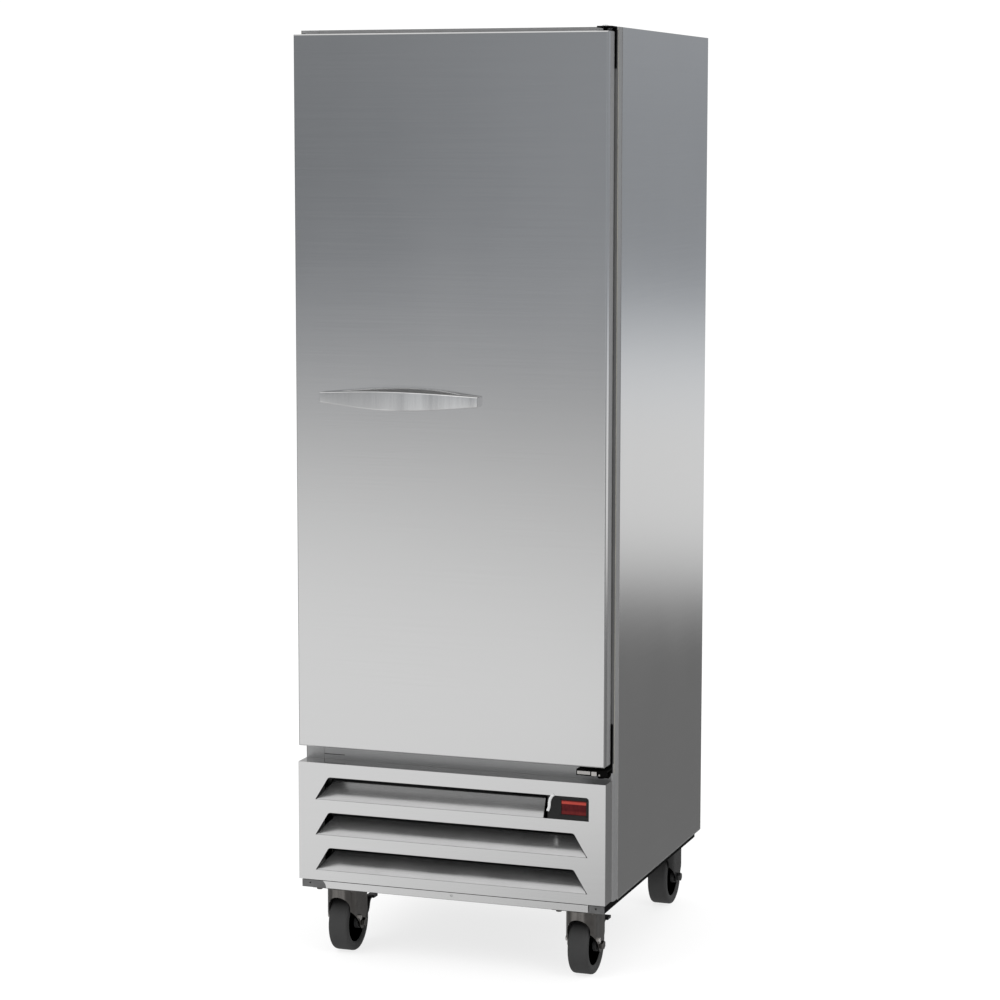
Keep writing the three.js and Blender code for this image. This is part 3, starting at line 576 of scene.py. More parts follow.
def stile(side):
    """A face-frame stile: flat front, round corner, and a flank a little inside the side panel."""
    node = f"{side}_stile"
    sign = -1 if side == "left" else 1
    low, high = BOX[node]
    inner = min(abs(low.x), abs(high.x))
    edge = SIDE_FACE - 0.9 * MM
    corner, sheet = 7 * MM, 1.1 * MM
    cx, cy = edge - corner, FRONT_FACE + corner

    def bend(r, turns):
        return [(cx + r * math.sin(a), cy - r * math.cos(a)) for a in turns]

    def outline(inset):
        quarter = bend(corner - inset, [math.pi / 2 * i / 12 for i in range(13)])
        return [(inner, FRONT_FACE + inset), *quarter, (edge - inset, high.y + 0.15 * MM)]

    def build(bm):
        ring = outline(0) + outline(sheet)[::-1]
        end, ease = 0.5 * MM, 0.3 * MM
        levels = ((low.z, ease), (low.z + end, 0), (high.z - end, 0), (high.z, ease))
        add_rings(bm, [[Vector((sign * x, y + back, z)) for x, y in ring] for z, back in levels])

    def breaker(bm):
        """The plastic lip between the frame and the liner."""
        x0, x1 = CAVITY_HALF + 0.2 * MM, inner - 0.2 * MM
        y0, y1 = FRONT_FACE + 0.1 * MM, FRONT_FACE + 1.3 * MM
        lip = ((x0, y0), (x1, y0), (x1, y1), (x0, y1))
        opening = (BOX["bottom_panel"][1].z, BOX["header_rail"][0].z)
        add_rings(bm, [[Vector((sign * x, y, z)) for x, y in lip] for z in opening])

    def corner_shade_strip(bm):
        """A dark strip round the stile's corner, in the gap beside the door: painted shade, a dark sheet
        where the gap is only in shadow.
        """
        turns = [math.radians(6 * i) for i in range(10)]
        faces = [[(cx - 6 * MM, cy - r), *bend(r, turns)] for r in (corner + 0.25 * MM, corner - 0.1 * MM)]
        strip = faces[0] + faces[1][::-1]
        add_rings(bm, [[Vector((sign * x, y, z)) for x, y in strip] for z in (DOOR[0].z, high.z - 6 * MM)])

    formed(build, node, "satin_steel", smooth=25)
    # The dark corner strip is painted shade in the door gap.
    added(corner_shade_strip, f"{node}_trim", node, "gasket_rubber")
    added(breaker, f"{node}_breaker", node, "black_plastic")


def side_panel(side):
    """A side sheet with a rolled front hem and a folded lower edge."""
    node = f"{side}_side_panel"
    sign = -1 if side == "left" else 1
    low, high = BOX[node]

    def hems(bm):
        inner = sign * (SIDE_FACE - 2.6 * MM)
        for outer, y1, z0, z1 in (
            (SIDE_FACE - 0.3 * MM, low.y + 4.5 * MM, low.z, high.z),
            (SIDE_FACE, high.y, low.z - 2.5 * MM, low.z + 0.7 * MM),
        ):
            add_box(bm, (inner, low.y, z0), (sign * outer, y1, z1), 0.6 * MM, 3)

    refined(node, 0.45, extra=hems)


for side in SIDES:
    stile(side)
    side_panel(side)
refined("header_rail", 0.4, "satin_steel")
refined("bottom_panel", 0.4, "satin_steel")


def seam(bm):
    """Painted shade: a thin black strip at the joint where the lower rail meets the left stile, standing in
    for the shadow in the gap.
    """
    low, _ = BOX["bottom_panel"]
    length, bottom, top = 47 * MM, 0.4392, 0.4406
    add_box(bm, (low.x, low.y - 0.12 * MM, bottom), (low.x + length, low.y + 0.3 * MM, top))


# A thin black strip of painted shade at the rail joint.
added(seam, "bottom_panel_joint_shade", "bottom_panel", "black_plastic")


def top_detail(bm):
    low, high = BOX["top_panel"]
    for x in (low.x + 14 * MM, high.x - 14 * MM):
        for t in (0.12, 0.5, 0.88):
            y = low.y + t * (high.y - low.y)
            add_lathe(bm, mm((0, 0), (3.2, 0), (2.6, 0.9), (1.2, 1.3), (0, 1.35)), (x, y, high.z), Z, 16)


refined("top_panel", 0.4, "stainless_top", top_detail)


def back_detail(bm):
    """Screws down both edges, and along the top and bottom."""
    low, high = BOX["back_panel"]
    rows, end, inset, apart = 7, 30 * MM, 12 * MM, 180 * MM
    spots = [(x, low.z + end + (high.z - low.z - 2 * end) * i / (rows - 1))
             for x in (low.x + inset, high.x - inset) for i in range(rows)]
    spots += [(x, z) for z in (low.z + inset, high.z - inset) for x in (-apart, 0.0, apart)]
    for x, z in spots:
        add_screw(bm, (x, high.y - 0.2 * MM, z), Y, 3.6 * MM, 2 * MM)


def pressed_back(bm):
    """Back sheet with two shallow pressed ribs down it."""
    low, high = BOX["back_panel"]
    rib, apart = mm((-9, 0), (-5, 0.8), (5, 0.8), (9, 0)), 160 * MM
    stations = [(centre + offset, dip) for centre in (-apart, apart) for offset, dip in rib]
    stations = [(low.x, 0.0), *stations, (high.x, 0.0)]
    outer = [(x, high.y - dip) for x, dip in stations]
    inner = [(x, low.y) for x, _ in stations][::-1]
    add_rings(bm, [[Vector((x, y, z)) for x, y in outer + inner] for z in (low.z, high.z)])


formed(pressed_back, "back_panel")
added(back_detail, "back_panel_screws", "back_panel")


def liner(bm):
    """The open-fronted inner box with coved corners."""
    low, high = BOX["inner_liner"]
    wall, cove, turned, steps = 1.2 * MM, 12 * MM, 8 * MM, 6
    inside = [(wall, low.y)]
    for i in range(steps + 1):
        a = math.pi / 2 * i / steps
        inside.append((wall + turned * (1 - math.cos(a)), high.y - wall - turned * (1 - math.sin(a))))
    sections = inside[::-1] + [(0, low.y), (0, high.y)]
    add_rings(bm, [upright_loop(inset, y, cove, low, high) for inset, y in sections])


formed(liner, "inner_liner", smooth=40)


# ---------- shelving ----------
SHELVES = (1, 2, 3)


def pilaster(end, side):
    """A slotted strip with a bent clip under each shelf."""
    node = f"shelf_pilaster_{end}_{side}"
    low, high = BOX[node]
    sign = -1 if side == "left" else 1
    wall = low.x if side == "left" else high.x
    face, tip, near = (wall - sign * depth * MM for depth in (3, 12, 5))
    pitch, hole = 25 * MM, 11 * MM
    y_mid = (low.y + high.y) / 2
    half, clip = 9 * MM, 7 * MM

    def build(bm):
        for edge in (-1, 1):
            add_box(bm, (wall, y_mid + edge * half, low.z), (face, y_mid + edge * 3 * MM, high.z), 0.8 * MM)
        for i in range(int((high.z - low.z) / pitch) + 1):
            z = low.z + i * pitch
            top = min(high.z, z + pitch - hole)
            add_box(bm, (wall, y_mid - 4 * MM, z), (face, y_mid + 4 * MM, top), 0.3 * MM, 1)
        for number in SHELVES:
            under = BOX[f"wire_shelf_{number}"][0].z - 0.3 * MM
            for x0, x1, z0, z1 in ((wall, tip, 2.2 * MM, 0), (face, near, 8 * MM, 1 * MM)):
                add_box(bm, (x0, y_mid - clip, under - z0), (x1, y_mid + clip, under - z1), 0.7 * MM)

    formed(build, node)


def wire_shelf(number):
    """A shelf of round bars: a border, two stiffeners across and close wires front to back."""
    node = f"wire_shelf_{number}"
    low, high = BOX[node]
    rod, wire = 3.4 * MM, 1.7 * MM
    z = high.z - rod

    def build(bm):
        x1, y0, y1 = high.x - rod, low.y + rod, high.y - rod
        border = [(x, y, z) for x, y in rounded_loop(x1, y0, y1, 9 * MM)]
        add_tube(bm, border, rod, 12, closed=True)
        for t in (1 / 3, 2 / 3):
            y = low.y + t * (high.y - low.y)
            add_tube(bm, [(-x1, y, z - 0.6 * MM), (x1, y, z - 0.6 * MM)], 2.7 * MM, 10)
        wires = 23
        for i in range(wires):
            x = -x1 + 2 * x1 * (i + 1) / (wires + 1)
            add_tube(bm, [(x, y0, z + 1.5 * MM), (x, y1, z + 1.5 * MM)], wire, 8)

    formed(build, node)


for side in SIDES:
    pilaster("front", side)
    pilaster("rear", side)
for number in SHELVES:
    wire_shelf(number)


# ---------- cooling at the top of the cavity ----------
def wire_guard(bm, centre, axis, radii, wire, spokes):
    """A fan guard: rings of wire on radial spokes."""
    basis = axis.to_track_quat("Z", "Y").to_matrix()

    def on(radius, turn, rise=0.0):
        return Vector(centre) + basis @ Vector((radius * math.cos(turn), radius * math.sin(turn), rise))

    for radius in radii:
        add_tube(bm, [on(radius, 2 * math.pi * i / 36) for i in range(36)], wire, 6, closed=True)
    for k in range(spokes):
        turn = 2 * math.pi * k / spokes
        add_tube(bm, [on(radii[0], turn, wire * 1.6), on(radii[-1], turn, wire * 1.6)], wire, 6)


def evaporator_detail(bm):
    low, high = BOX["evaporator_housing"]
    fan = middle("evaporator_fan")
    radii = [(10 + 11 * i) * MM for i in range(7)]
    wire_guard(bm, (fan.x, fan.y, low.z - 1.0 * MM), Z, radii, 0.9 * MM, 8)
    for x in (low.x + 12 * MM, high.x - 12 * MM):
        for y in (low.y + 14 * MM, high.y - 14 * MM):
            add_screw(bm, (x, y, low.z + 0.2 * MM), -Z, 3.8 * MM, 2 * MM)


refined("evaporator_housing", 0.6, extra=evaporator_detail)


def evaporator_coil_detail(bm):
    low, high = BOX["evaporator_coil"]
    for row in range(3):
        z = low.z + (row + 0.5) * (high.z - low.z) / 3
        for i in range(4):
            y = low.y + 30 * MM + i * 60 * MM
            turns = [math.pi * k / 10 for k in range(11)]
            arc = [(high.x + 9 * MM * math.sin(a), y + 15 * MM * (1 - math.cos(a)), z) for a in turns]
            add_tube(bm, arc, 4 * MM, 10)


refined("evaporator_coil", 0.8)
added(evaporator_coil_detail, "evaporator_coil_bends", "evaporator_coil", "copper")


def fan(node, axis, hub, finish, chord, count=5):
    """Curved blades on a domed hub."""
    low, high = BOX[node]
    centre = middle(node)
    depth = (high - low).dot(Vector([abs(c) for c in axis]))
    spans = [high[i] - low[i] for i in range(3) if abs(axis[i]) < 0.5]
    tip = min(spans) / 2 - 0.5 * MM

    def build(bm):
        half = depth / 2
        add_lathe(bm, [(0, -half), (hub * 0.9, -half), (hub, -half + 1.5 * MM), (hub, half - 2.5 * MM),
                       (hub * 0.86, half - 0.6 * MM), (hub * 0.4, half), (hub * 0.34, half - 1.2 * MM),
                       (0, half - 1.2 * MM)], centre, axis, 40)
        add_blades(bm, centre, axis, hub - 2 * MM, tip, depth, count, chord)

    formed(build, node, finish)


def motor(node, axis, radius):
    """A motor can with a rolled seam, on a flat bracket arm."""
    low, high = BOX[node]
    depth = (high - low).dot(Vector([abs(c) for c in axis]))
    start = middle(node) - axis * depth / 2
    arm = (high.x - low.x) / 2
    across = Z if axis == Y else Y

    def build(bm):
        r = radius
        add_lathe(bm, [(0, 0), (r * 0.3, 0), (r * 0.34, 1.5 * MM), (r * 0.86, 2 * MM), (r, 5 * MM),
                       (r, depth * 0.45), (r * 0.97, depth * 0.47), (r * 0.97, depth * 0.53),
                       (r, depth * 0.55), (r, depth - 6 * MM), (r * 0.9, depth - 4 * MM),
                       (0, depth - 4 * MM)], start, axis, 44)
        top = start + axis * (depth - 4 * MM)
        reach = X * arm + across * 6 * MM
        add_box(bm, top - reach, top + reach + axis * 4 * MM, 1.0 * MM)
        for sign in (-1, 1):
            add_hex(bm, top + X * sign * (arm - 8 * MM), -axis, 7 * MM, 2.5 * MM)

    formed(build, node)


fan("evaporator_fan", -Z, 18 * MM, "black_plastic", 62 * MM)
fan("condenser_fan", Y, 24 * MM, "aluminium", 84 * MM)
motor("evaporator_fan_motor", Z, 24 * MM)
motor("condenser_fan_motor", Y, 36 * MM)


def light_bar(bm):
    """A half-round diffuser between two end caps."""
    low, high = BOX["light_bar"]
    y_mid, radius = (low.y + high.y) / 2, (high.y - low.y) / 2

    def arc(x, r):
        turns = [math.pi * i / 24 for i in range(25)]
        return [Vector((x, y_mid - r * math.cos(a), high.z - r * math.sin(a))) for a in turns]

    cap, step, lens = 14 * MM, 0.4 * MM, radius - 1.2 * MM
    stations = [(low.x, radius), (low.x + cap, radius), (low.x + cap + step, lens),
                (high.x - cap - step, lens), (high.x - cap, radius), (high.x, radius)]
    add_rings(bm, [arc(x, r) for x, r in stations])


formed(light_bar, "light_bar")


# ---------- machine compartment ----------
refined("machine_base", 0.7)
# The cross member takes the darker galvanised copy: painted shade.
refined("front_cross_member", 0.5, "galvanised_shaded")

GRILLE_FACE = BOX["grille_panel"][0].y + 4 * MM
GRILLE_SCREW = (3 * MM, GRILLE_FACE, 0.166)


def grille_screw(bm):
    add_screw(bm, GRILLE_SCREW, -Y, 2.7 * MM, 1.6 * MM)


def grille_groove_shade(bm):
    """Painted shade: a thin black strip along the groove where the grille's lip turns in below its face,
    standing in for its shadow.
    """
    left, right, bottom, top = -0.2995, 0.303, 0.1725, 0.1738
    add_box(bm, (left, GRILLE_FACE - 0.12 * MM, bottom), (right, GRILLE_FACE + 0.3 * MM, top))


def louvre_skins():
    """A satin skin on each louvre's sloping face, and black bars of painted shade round its top and ends,
    standing in for the shadowed gap.
    """
    skins, gap_shadow_bars = cad_mesh("grille_panel"), bmesh.new()
    skins.normal_update()
    flat = [face for face in skins.faces if not (0.4 < face.normal.z < 0.95 and face.normal.y < -0.3)]
    bmesh.ops.delete(skins, geom=flat, context="FACES")
    for vert in skins.verts:
        vert.co += Vector((0, -0.07 * MM, 0.07 * MM))
    for edge in (edge for edge in skins.edges if edge.is_boundary):
        first, last = (vert.co.copy() for vert in edge.verts)
        along = (last - first).normalized()
        # Painted shade: thin black bars along each skin's ends and a thicker one along its top edge.
        if abs(along.x) < 0.9:
            add_tube(gap_shadow_bars, (first, last), 0.9 * MM, 8)
        elif (first.z + last.z) / 2 > edge.link_faces[0].calc_center_median().z:
            add_tube(gap_shadow_bars, (first, last), 2.2 * MM, 12)
    bmesh.ops.solidify(skins, geom=skins.faces[:], thickness=-0.15 * MM)
    for bm, name, finish in ((skins, "grille_louvre_skins", "louvre_steel"),
                             (gap_shadow_bars, "grille_louvre_shade", "black_plastic")):
        publish(bm, name, "grille_panel", finish)


refined("grille_panel", 0.5, segments=3)
added(grille_screw, "grille_screw", "grille_panel")
# A thin black strip of painted shade under the grille's face.
added(grille_groove_shade, "grille_groove_shade", "grille_panel", "black_plastic")
louvre_skins()


def rear_grille_detail(bm):
    """Screws round the edge, and a hood over each slot."""
    low, high = BOX["rear_grille"]
    slots, lowest, pitch, ends, screw_x = 7, 0.235, 26 * MM, (-0.24, 0.18), -0.03
    for x in (low.x + 10 * MM, high.x - 10 * MM, screw_x):
        for z in (low.z + 10 * MM, high.z - 10 * MM):
            add_screw(bm, (x, high.y - 0.2 * MM, z), Y, 3.6 * MM, 2 * MM)
    hood = mm((0, 0), (5.5, -7), (5.5, -8.2), (4.6, -8.2), (0, -1.4))
    for i in range(slots):
        z = lowest + i * pitch
        add_rings(bm, [[Vector((x, high.y + dy, z + dz)) for dy, dz in hood] for x in ends])


refined("rear_grille", 0.4, extra=rear_grille_detail)


def power_inlet(bm):
    low, high = BOX["power_inlet"]
    centre, depth = middle("power_inlet"), high.y - low.y
    start = Vector((centre.x, low.y, centre.z))
    outer = mm((8.5, 9), (14.6, 9), (15, 8), (14.4, 2.6), (10, 1.2), (8.2, 0), (5.2, 0), (4.5, 1))
    profile = mm((4.5, 0), (7.9, 0), (8.5, 0.8)) + [(r, depth - back) for r, back in outer] + mm((4.5, 0))
    add_lathe(bm, profile, start, Y, 40)
    add_hex(bm, start + Y * 7 * MM, Y, 24 * MM, 8 * MM)


formed(power_inlet, "power_inlet")


def condenser_detail(bm):
    low, high = BOX["condenser_coil"]
    for x in (low.x, high.x - 2 * MM):
        add_box(bm, (x - 1 * MM, low.y - 2 * MM, low.z), (x + 3 * MM, high.y, high.z), 0.8 * MM)
    rows = 8
    for i in range(rows):
        z = low.z + (i + 0.5) * (high.z - low.z) / rows
        for x, bend in ((low.x - 1 * MM, -9 * MM), (high.x + 1 * MM, 9 * MM)):
            turns = [math.pi * k / 8 for k in range(9)]
            arc = [(x + bend * math.sin(a), low.y + 12 * MM, z + 9 * MM * math.cos(a)) for a in turns]
            add_tube(bm, arc, 4 * MM, 8)


refined("condenser_coil", 0.8, "condenser_fins", condenser_detail)


def shroud_detail(bm):
    centre = middle("condenser_fan")
    low, high = BOX["condenser_shroud"]
    for x in (low.x + 12 * MM, high.x - 12 * MM):
        for z in (low.z + 12 * MM, high.z - 12 * MM):
            add_hex(bm, (x, low.y + 1.6 * MM, z), Y, 8 * MM, 3 * MM)
    rim = mm((112.4, 0), (114.2, 0), (114.2, 3), (112.4, 3), (112.4, 0))
    add_lathe(bm, rim, (centre.x, high.y - 3.2 * MM, centre.z), Y, 64)


refined("condenser_shroud", 0.5, extra=shroud_detail)


def compressor_foot():
    """The middle of the compressor's underside."""
    centre = middle("compressor")
    return Vector((centre.x, centre.y, BOX["compressor"][0].z))


def compressor(bm):
    """A welded steel shell on a cross of feet, with its terminal cover."""
    r = 78
    dome = [(r * math.cos(a), 120 + 50 * math.sin(a)) for a in (math.pi / 2 * i / 14 for i in range(14))]
    shell = mm((0, 14), (r * 0.6, 14), (r * 0.86, 20), (r, 38), (r + 1, 80), (r + 3, 84), (r + 3, 90),
               (r + 0.6, 92), *dome, (0, 170))
    grommet = mm((0, 0), (8.5, 0), (9, 1.5), (7, 4), (9, 6.5), (8.5, 8), (0, 8))
    foot = compressor_foot()
    add_lathe(bm, shell, foot, Z, 72)
    for along, across in ((X, Y), (Y, X)):
        reach = (100 * along + 12 * across) * MM
        base = foot + Z * 8 * MM
        add_box(bm, base - reach, base + reach + Z * 11 * MM, 2.5 * MM, 3)
        for sign in (-1, 1):
            spot = foot + sign * 92 * MM * along
            add_lathe(bm, grommet, spot, Z, 24)
            add_hex(bm, spot + Z * 19 * MM, Z, 10 * MM, 4 * MM)
    cover = [foot + Vector(corner) * MM for corner in ((-30, -r - 16, 62), (30, -r + 12, 118))]
    add_box(bm, *cover, 5 * MM, 3)


def compressor_pipes(bm):
    """Stub pipes that leave the shell level and bend upwards."""
    stub, bend = 14 * MM, 16 * MM
    for turn, rise, run in ((0.5, 70, 70), (0.9, 55, 90)):
        out = Vector((math.cos(turn), math.sin(turn), 0))
        root = compressor_foot() + Z * rise * MM + out * 74 * MM
        path = [root, root + out * stub]
        for i in range(1, 9):
            a = math.pi / 2 * i / 8
            path.append(root + out * (stub + bend * math.sin(a)) + Z * bend * (1 - math.cos(a)))
        path.append(path[-1] + Z * run * MM)
        add_tube(bm, path, 4.5 * MM, 12)


formed(compressor, "compressor")
added(compressor_pipes, "compressor_pipes", "compressor", "copper")
refined("condensate_pan", 0.9, segments=3)


# ---------- controller ----------
def controller_face(bm):
    """A bezel round the lens, with two push buttons beside it."""
    lens_low, lens_high = BOX["display_lens"]
    face = BOX["controller_housing"][0].y
    rim = 2.2 * MM
    left, right, bottom, top = lens_low.x - rim, lens_high.x + rim, lens_low.z - rim, lens_high.z + rim
    for x0, x1, z0, z1 in ((left, lens_low.x, bottom, top), (lens_high.x, right, bottom, top),
                           (left, right, bottom, lens_low.z), (left, right, lens_high.z, top)):
        add_box(bm, (x0, face - 0.35 * MM, z0), (x1, face + 1 * MM, z1), 0.3 * MM)
    button = mm((0, 0), (4.4, 0), (4.4, 0.25), (3.6, 0.4), (0, 0.4))
    for z in (lens_low.z + 8 * MM, lens_high.z - 8 * MM):
        add_lathe(bm, button, (lens_low.x - 14 * MM, face, z), -Y, 24)


def lead(bm):
    """A white lead looping past the controller."""
    y = BOX["controller_housing"][0].y - 1.2 * MM
    bends = mm((230, 402), (225.5, 398), (222, 392), (220.5, 385), (220.5, 378), (219, 372), (217, 367))
    add_tube(bm, [(x, y, z) for x, z in bends], 3.2 * MM, 12)


refined("controller_housing", 0.8, segments=3)
added(controller_face, "controller_bezel", "controller_housing")
added(lead, "controller_lead", "controller_housing", "white_liner")
refined("display_lens", 0.8, segments=3)


# ---------- hinges ----------
JOINTS = {joint["name"]: joint for joint in RECORD["behaviour"]["joints"]}
PIN = Vector(JOINTS["door_swing"]["pos_m"])


def top_hinge(bm):
    """A flat ledge with its leg in the gap beside the door."""
    low, high = BOX["top_hinge"]
    ledge = high.z - 2.5 * MM
    add_box(bm, (low.x, low.y, ledge - 3.4 * MM), (high.x, high.y, ledge), 0.8 * MM)
    add_box(bm, (high.x - 10 * MM, high.y - 3 * MM, low.z), (high.x, high.y, ledge), 0.8 * MM)
    pin = mm((0, 0), (4.6, 0), (5, 1), (5, 18), (0, 18))
    add_lathe(bm, pin, (PIN.x, PIN.y, ledge - 20 * MM), Z, 28)


def top_hinge_head(bm):
    """The flanged head of the pin, on top of the ledge."""
    top = BOX["top_hinge"][1].z
    head = mm((0, 0), (7.8, 0), (7.8, 0.8), (5.8, 0.8), (5.6, 2.1), (4.6, 2.5), (0, 2.5))
    add_lathe(bm, head, (PIN.x, PIN.y, top - 2.5 * MM), Z, 24)


def hinge_plates(bm):
    """A bright ribbed plate, a square cam and a screw on the front of the lower arm."""
    low, _ = BOX["bottom_hinge"]
    origin = Vector((low.x, low.y, DOOR[0].z - 7 * MM))

    def block(first, second, bevel, segments=2):
        add_box(bm, origin + Vector(first) * MM, origin + Vector(second) * MM, bevel * MM, segments)

    block((2, -0.5, -10.2), (30, 1, -3), 0.4)
    for i in range(5):
        left = 4 + 5.2 * i
        block((left, -0.9, -9), (left + 3.2, 0, -4.6), 0.3, 1)
    block((32.5, -0.7, -12), (44, 1, -3), 0.6)
    add_screw(bm, origin + Vector((49.5, 0.2, -10)) * MM, -Y, 2.4 * MM, 1.5 * MM)


formed(top_hinge, "top_hinge")
added(top_hinge_head, "top_hinge_head", "top_hinge", "white_liner")
refined("bottom_hinge", 0.6)
added(hinge_plates, "bottom_hinge_plates", "bottom_hinge", "zinc")


# ---------- door ----------
def door_skin(bm):
    """A folded pan: a flat front, rolled edges and a hemmed rear rim."""
    low, high = DOOR
    roll, wall = 3.2 * MM, 1.2 * MM
    steps = [(roll * (1 - math.sin(a)), low.y + roll * (1 - math.cos(a)))
             for a in (math.pi / 2 * i / 10 for i in range(11))]
    rings = [upright_loop(inset, y, 1.2 * MM, low, high) for inset, y in steps]
    for inset, y in ((0, high.y - 0.5 * MM), (0.5 * MM, high.y), (wall - 0.4 * MM, high.y),
                     (wall, high.y - 0.5 * MM), (wall, low.y + roll), (roll, low.y + wall)):
        rings.append(upright_loop(inset, y, 0.6 * MM, low, high))
    add_rings(bm, rings)


def door_edge(bm):
    """A satin band along the rear half of each upright edge."""
    low, high = DOOR
    for sign in (-1, 1):
        add_box(bm, (sign * (high.x - 0.1 * MM), low.y + 17 * MM, low.z + 1 * MM),
                (sign * (high.x + 0.25 * MM), high.y, high.z - 1 * MM), 0.2 * MM)


formed(door_skin, "door_skin", smooth=35)
added(door_edge, "door_skin_edges", "door_skin", "satin_steel")


def door_liner(bm):
    """The moulded inner door: a flat rim, and a raised panel with soft corners."""
    low, high = BOX["door_inner_panel"]
    rise = 5.5 * MM
    steps = [(0.0, low.y, 1), (0.0, high.y, 1), (46, high.y, 8), (48, high.y + 0.6 * MM, 9),
             (51, high.y + rise - 0.8 * MM, 11), (53, high.y + rise, 12), (70, high.y + rise, 14),
             (72, high.y + rise - 0.5 * MM, 15), (75, high.y + 2.0 * MM, 16), (78, high.y + 1.5 * MM, 18)]
    add_rings(bm, [upright_loop(inset * MM, y, corner * MM, low, high) for inset, y, corner in steps])


def gasket(bm):
    """A magnetic gasket: a soft bellows and a flat sealing face, mitred round the door."""
    low, high = BOX["door_gasket"]
    depth = high.y - low.y
    section = [(0.5, 0), (0.5, 0.16), (3.2, 0.2), (3.6, 0.34), (1.8, 0.44), (1.8, 0.54), (3.4, 0.64),
               (2.0, 0.74), (1.6, 0.9), (2.6, 1.0), (15.5, 1.0), (16.8, 0.9), (16.4, 0.76), (14.4, 0.64),
               (16.8, 0.54), (16.8, 0.44), (14.6, 0.34), (16, 0.2), (19.5, 0.16), (19.5, 0)]
    c, half = middle("door_gasket"), (high - low) / 2
    rings = [[Vector((c.x + sx * (half.x - u * MM), low.y + v * depth, c.z + sz * (half.z - u * MM)))
              for u, v in section] for sx, sz in ((1, 1), (-1, 1), (-1, -1), (1, -1))]
    add_rings(bm, rings, closed=True)


def handle(bm):
    """The bowed pull: a satin bar, tallest in the middle, on two solid feet."""
    low, high = BOX["door_handle"]
    face = high.y
    half = (high.x - low.x) / 2
    cx, _, cz = middle("door_handle")
    reach, tallest = high.y - low.y, high.z - low.z
    root, band, foot, end = 16 * MM, 8 * MM, 34 * MM, 21 * MM
    throat = half - foot
    stations, corner_steps = 120, 4

    def bow(t):
        return root + (reach - root) * math.cos(min(1, abs(t)) * math.pi / 2) ** 1.2

    rings, back = [], []
    for i in range(stations + 1):
        t = -math.cos(math.pi * i / stations)
        x = cx + t * half
        tall = end + (tallest - end) * max(0, math.cos(t * math.pi / 2)) ** 1.1
        outer = bow(t)
        s = (x - cx) / throat
        inner = max(0.0, bow(s) - root * abs(s) ** 6 - band) if abs(s) < 1 else 0.0
        tip = min(1.0, min(x - low.x, high.x - x) / (1.8 * MM))
        ease = 1.4 * MM * (1 - math.sqrt(max(0.0, 1 - (1 - tip) ** 2)))
        r = min(2.2 * MM, (outer - inner) / 2 - 0.1 * MM)
        y0, y1 = face - outer + ease, face - inner
        z0, z1 = cz - tall / 2 + ease, cz + tall / 2 - ease
        ring = []
        for py, pz, start in ((y0 + r, z1 - r, 90), (y0 + r, z0 + r, 180), (y1 - r, z0 + r, 270),
                              (y1 - r, z1 - r, 0)):
            for k in range(corner_steps + 1):
                a = math.radians(start + 90 * k / corner_steps)
                ring.append(Vector((x, py + r * math.cos(a), pz + r * math.sin(a))))
        rings.append(ring)
        if abs(s) < 0.9:
            back.append([Vector((x, y, z)) for y, z in ((y1, z0 + r), (y1 + 0.2 * MM, z0 + r),
                                                        (y1 + 0.2 * MM, z1 - r), (y1, z1 - r))])
    add_rings(bm, rings)
    lining = bmesh.new()
    add_rings(lining, back)
    publish(lining, "door_handle_lining", "door_handle", "white_liner")


formed(door_liner, "door_inner_panel", smooth=50)
formed(gasket, "door_gasket", smooth=60)
formed(handle, "door_handle", smooth=40)
for node in ("foam_insulation", "door_foam"):
    thing = frame["nodes"][node]
    thing.data.materials.clear()
    thing.data.materials.append(FINISH["foam"])


# ---------- casters ----------
def both_ways(half):
    """A closed profile from its right half and that half mirrored."""
    return half + [(r, -h) for r, h in half[::-1]] + [half[0]]


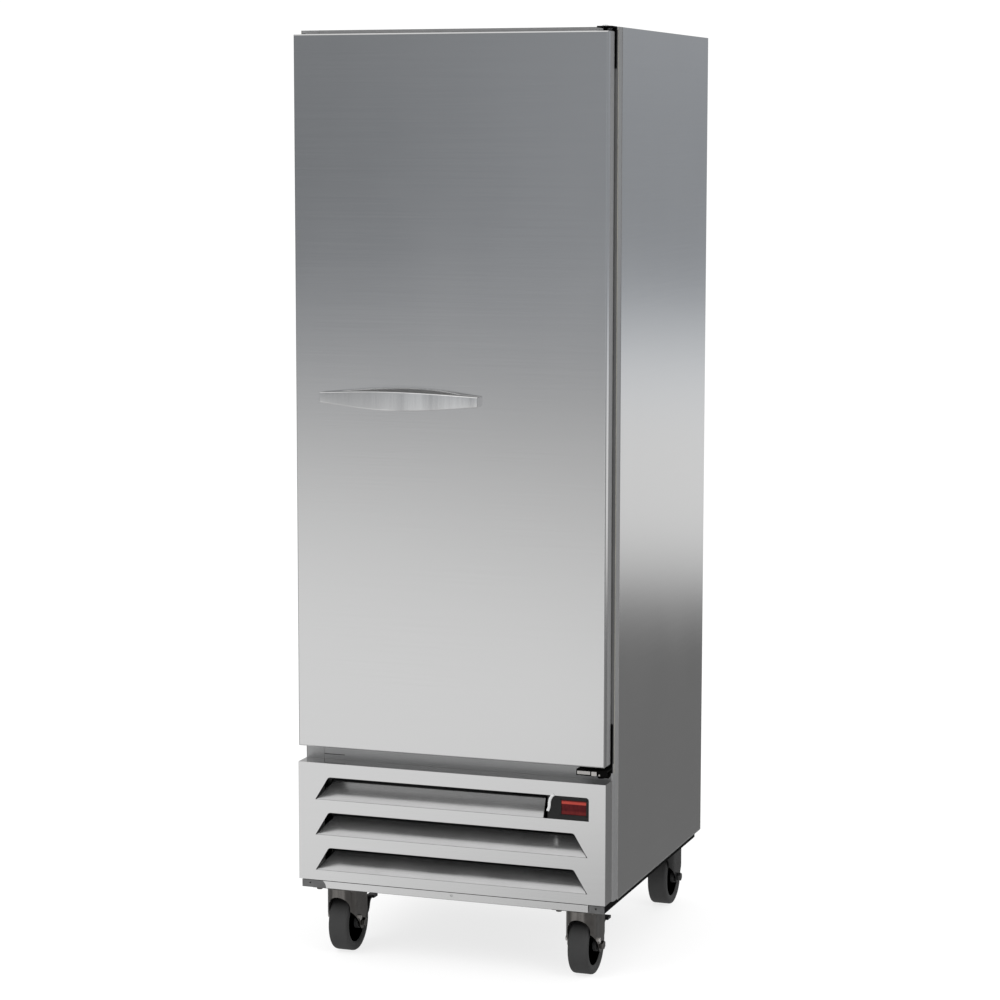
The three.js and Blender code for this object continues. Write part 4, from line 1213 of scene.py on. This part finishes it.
def caster(label):
    """A plate, a yoke (with bolts on the front casters), and a tyre on a spoked core."""
    # The rear casters take the darker zinc copy: painted shade.
    metal = "dark_zinc" if label.startswith("front") else "rear_zinc_shaded"
    swivel = Vector(JOINTS[f"{label}_swivel_turn"]["pos_m"])
    hub = Vector(JOINTS[f"{label}_wheel_roll"]["pos_m"])
    refined(f"caster_plate_{label}", 0.7, metal)
    refined(f"caster_yoke_{label}", 0.7, metal, smooth=40)
    refined(f"caster_axle_{label}", 0.6, metal)

    def bolt(bm):
        low, high = BOX[f"caster_yoke_{label}"]
        for x, axis in ((low.x, -X), (high.x, X)):
            add_hex(bm, (x - 0.2 * MM * axis.x, hub.y - 20 * MM, hub.z + 14 * MM), axis, 11 * MM, 5 * MM)

    if metal == "dark_zinc":
        added(bolt, f"caster_bolts_{label}", f"caster_yoke_{label}", "zinc")

    def race(bm):
        profile = mm((27, 0.6), (31.8, 0.6), (33, 1.8), (33, 3.4), (31.4, 4.6), (27, 4.6), (27, 0.6))
        add_lathe(bm, profile, swivel, Z, 48)

    added(race, f"caster_race_{label}", f"caster_plate_{label}")

    def tyre(bm):
        right = mm((44.5, 18.5), (46, 19.8), (50, 21.4), (55, 22), (59.5, 21.8), (61.6, 20.8), (63, 18.8),
                   (63.5, 16), (63.5, 4))
        add_lathe(bm, both_ways(right), hub, X, 96)

    def core(bm):
        right = mm((7, 27), (12.5, 27), (14, 26), (14.6, 23), (15.6, 13.4), (18, 11.4), (38, 9.4), (41, 11),
                   (43.4, 17.5), (45.2, 18.6))
        add_lathe(bm, both_ways(right), hub, X, 72)
        spokes = 6
        for k in range(spokes):
            turn = math.pi * 2 * k / spokes
            out = Vector((0, math.cos(turn), math.sin(turn)))
            for sign in (-1, 1):
                ends = [hub + out * 16 * MM + X * sign * 10.5 * MM, hub + out * 39 * MM + X * sign * 9.2 * MM]
                add_tube(bm, ends, 2.6 * MM, 8)

    formed(tyre, f"caster_wheel_{label}", "tyre", smooth=50, name=f"caster_tyre_{label}")
    added(core, f"caster_core_{label}", f"caster_wheel_{label}", "wheel_core", smooth=40)


for label in CASTERS:
    caster(label)
for side in SIDES:
    refined(f"brake_pedal_front_{side}", 0.7)
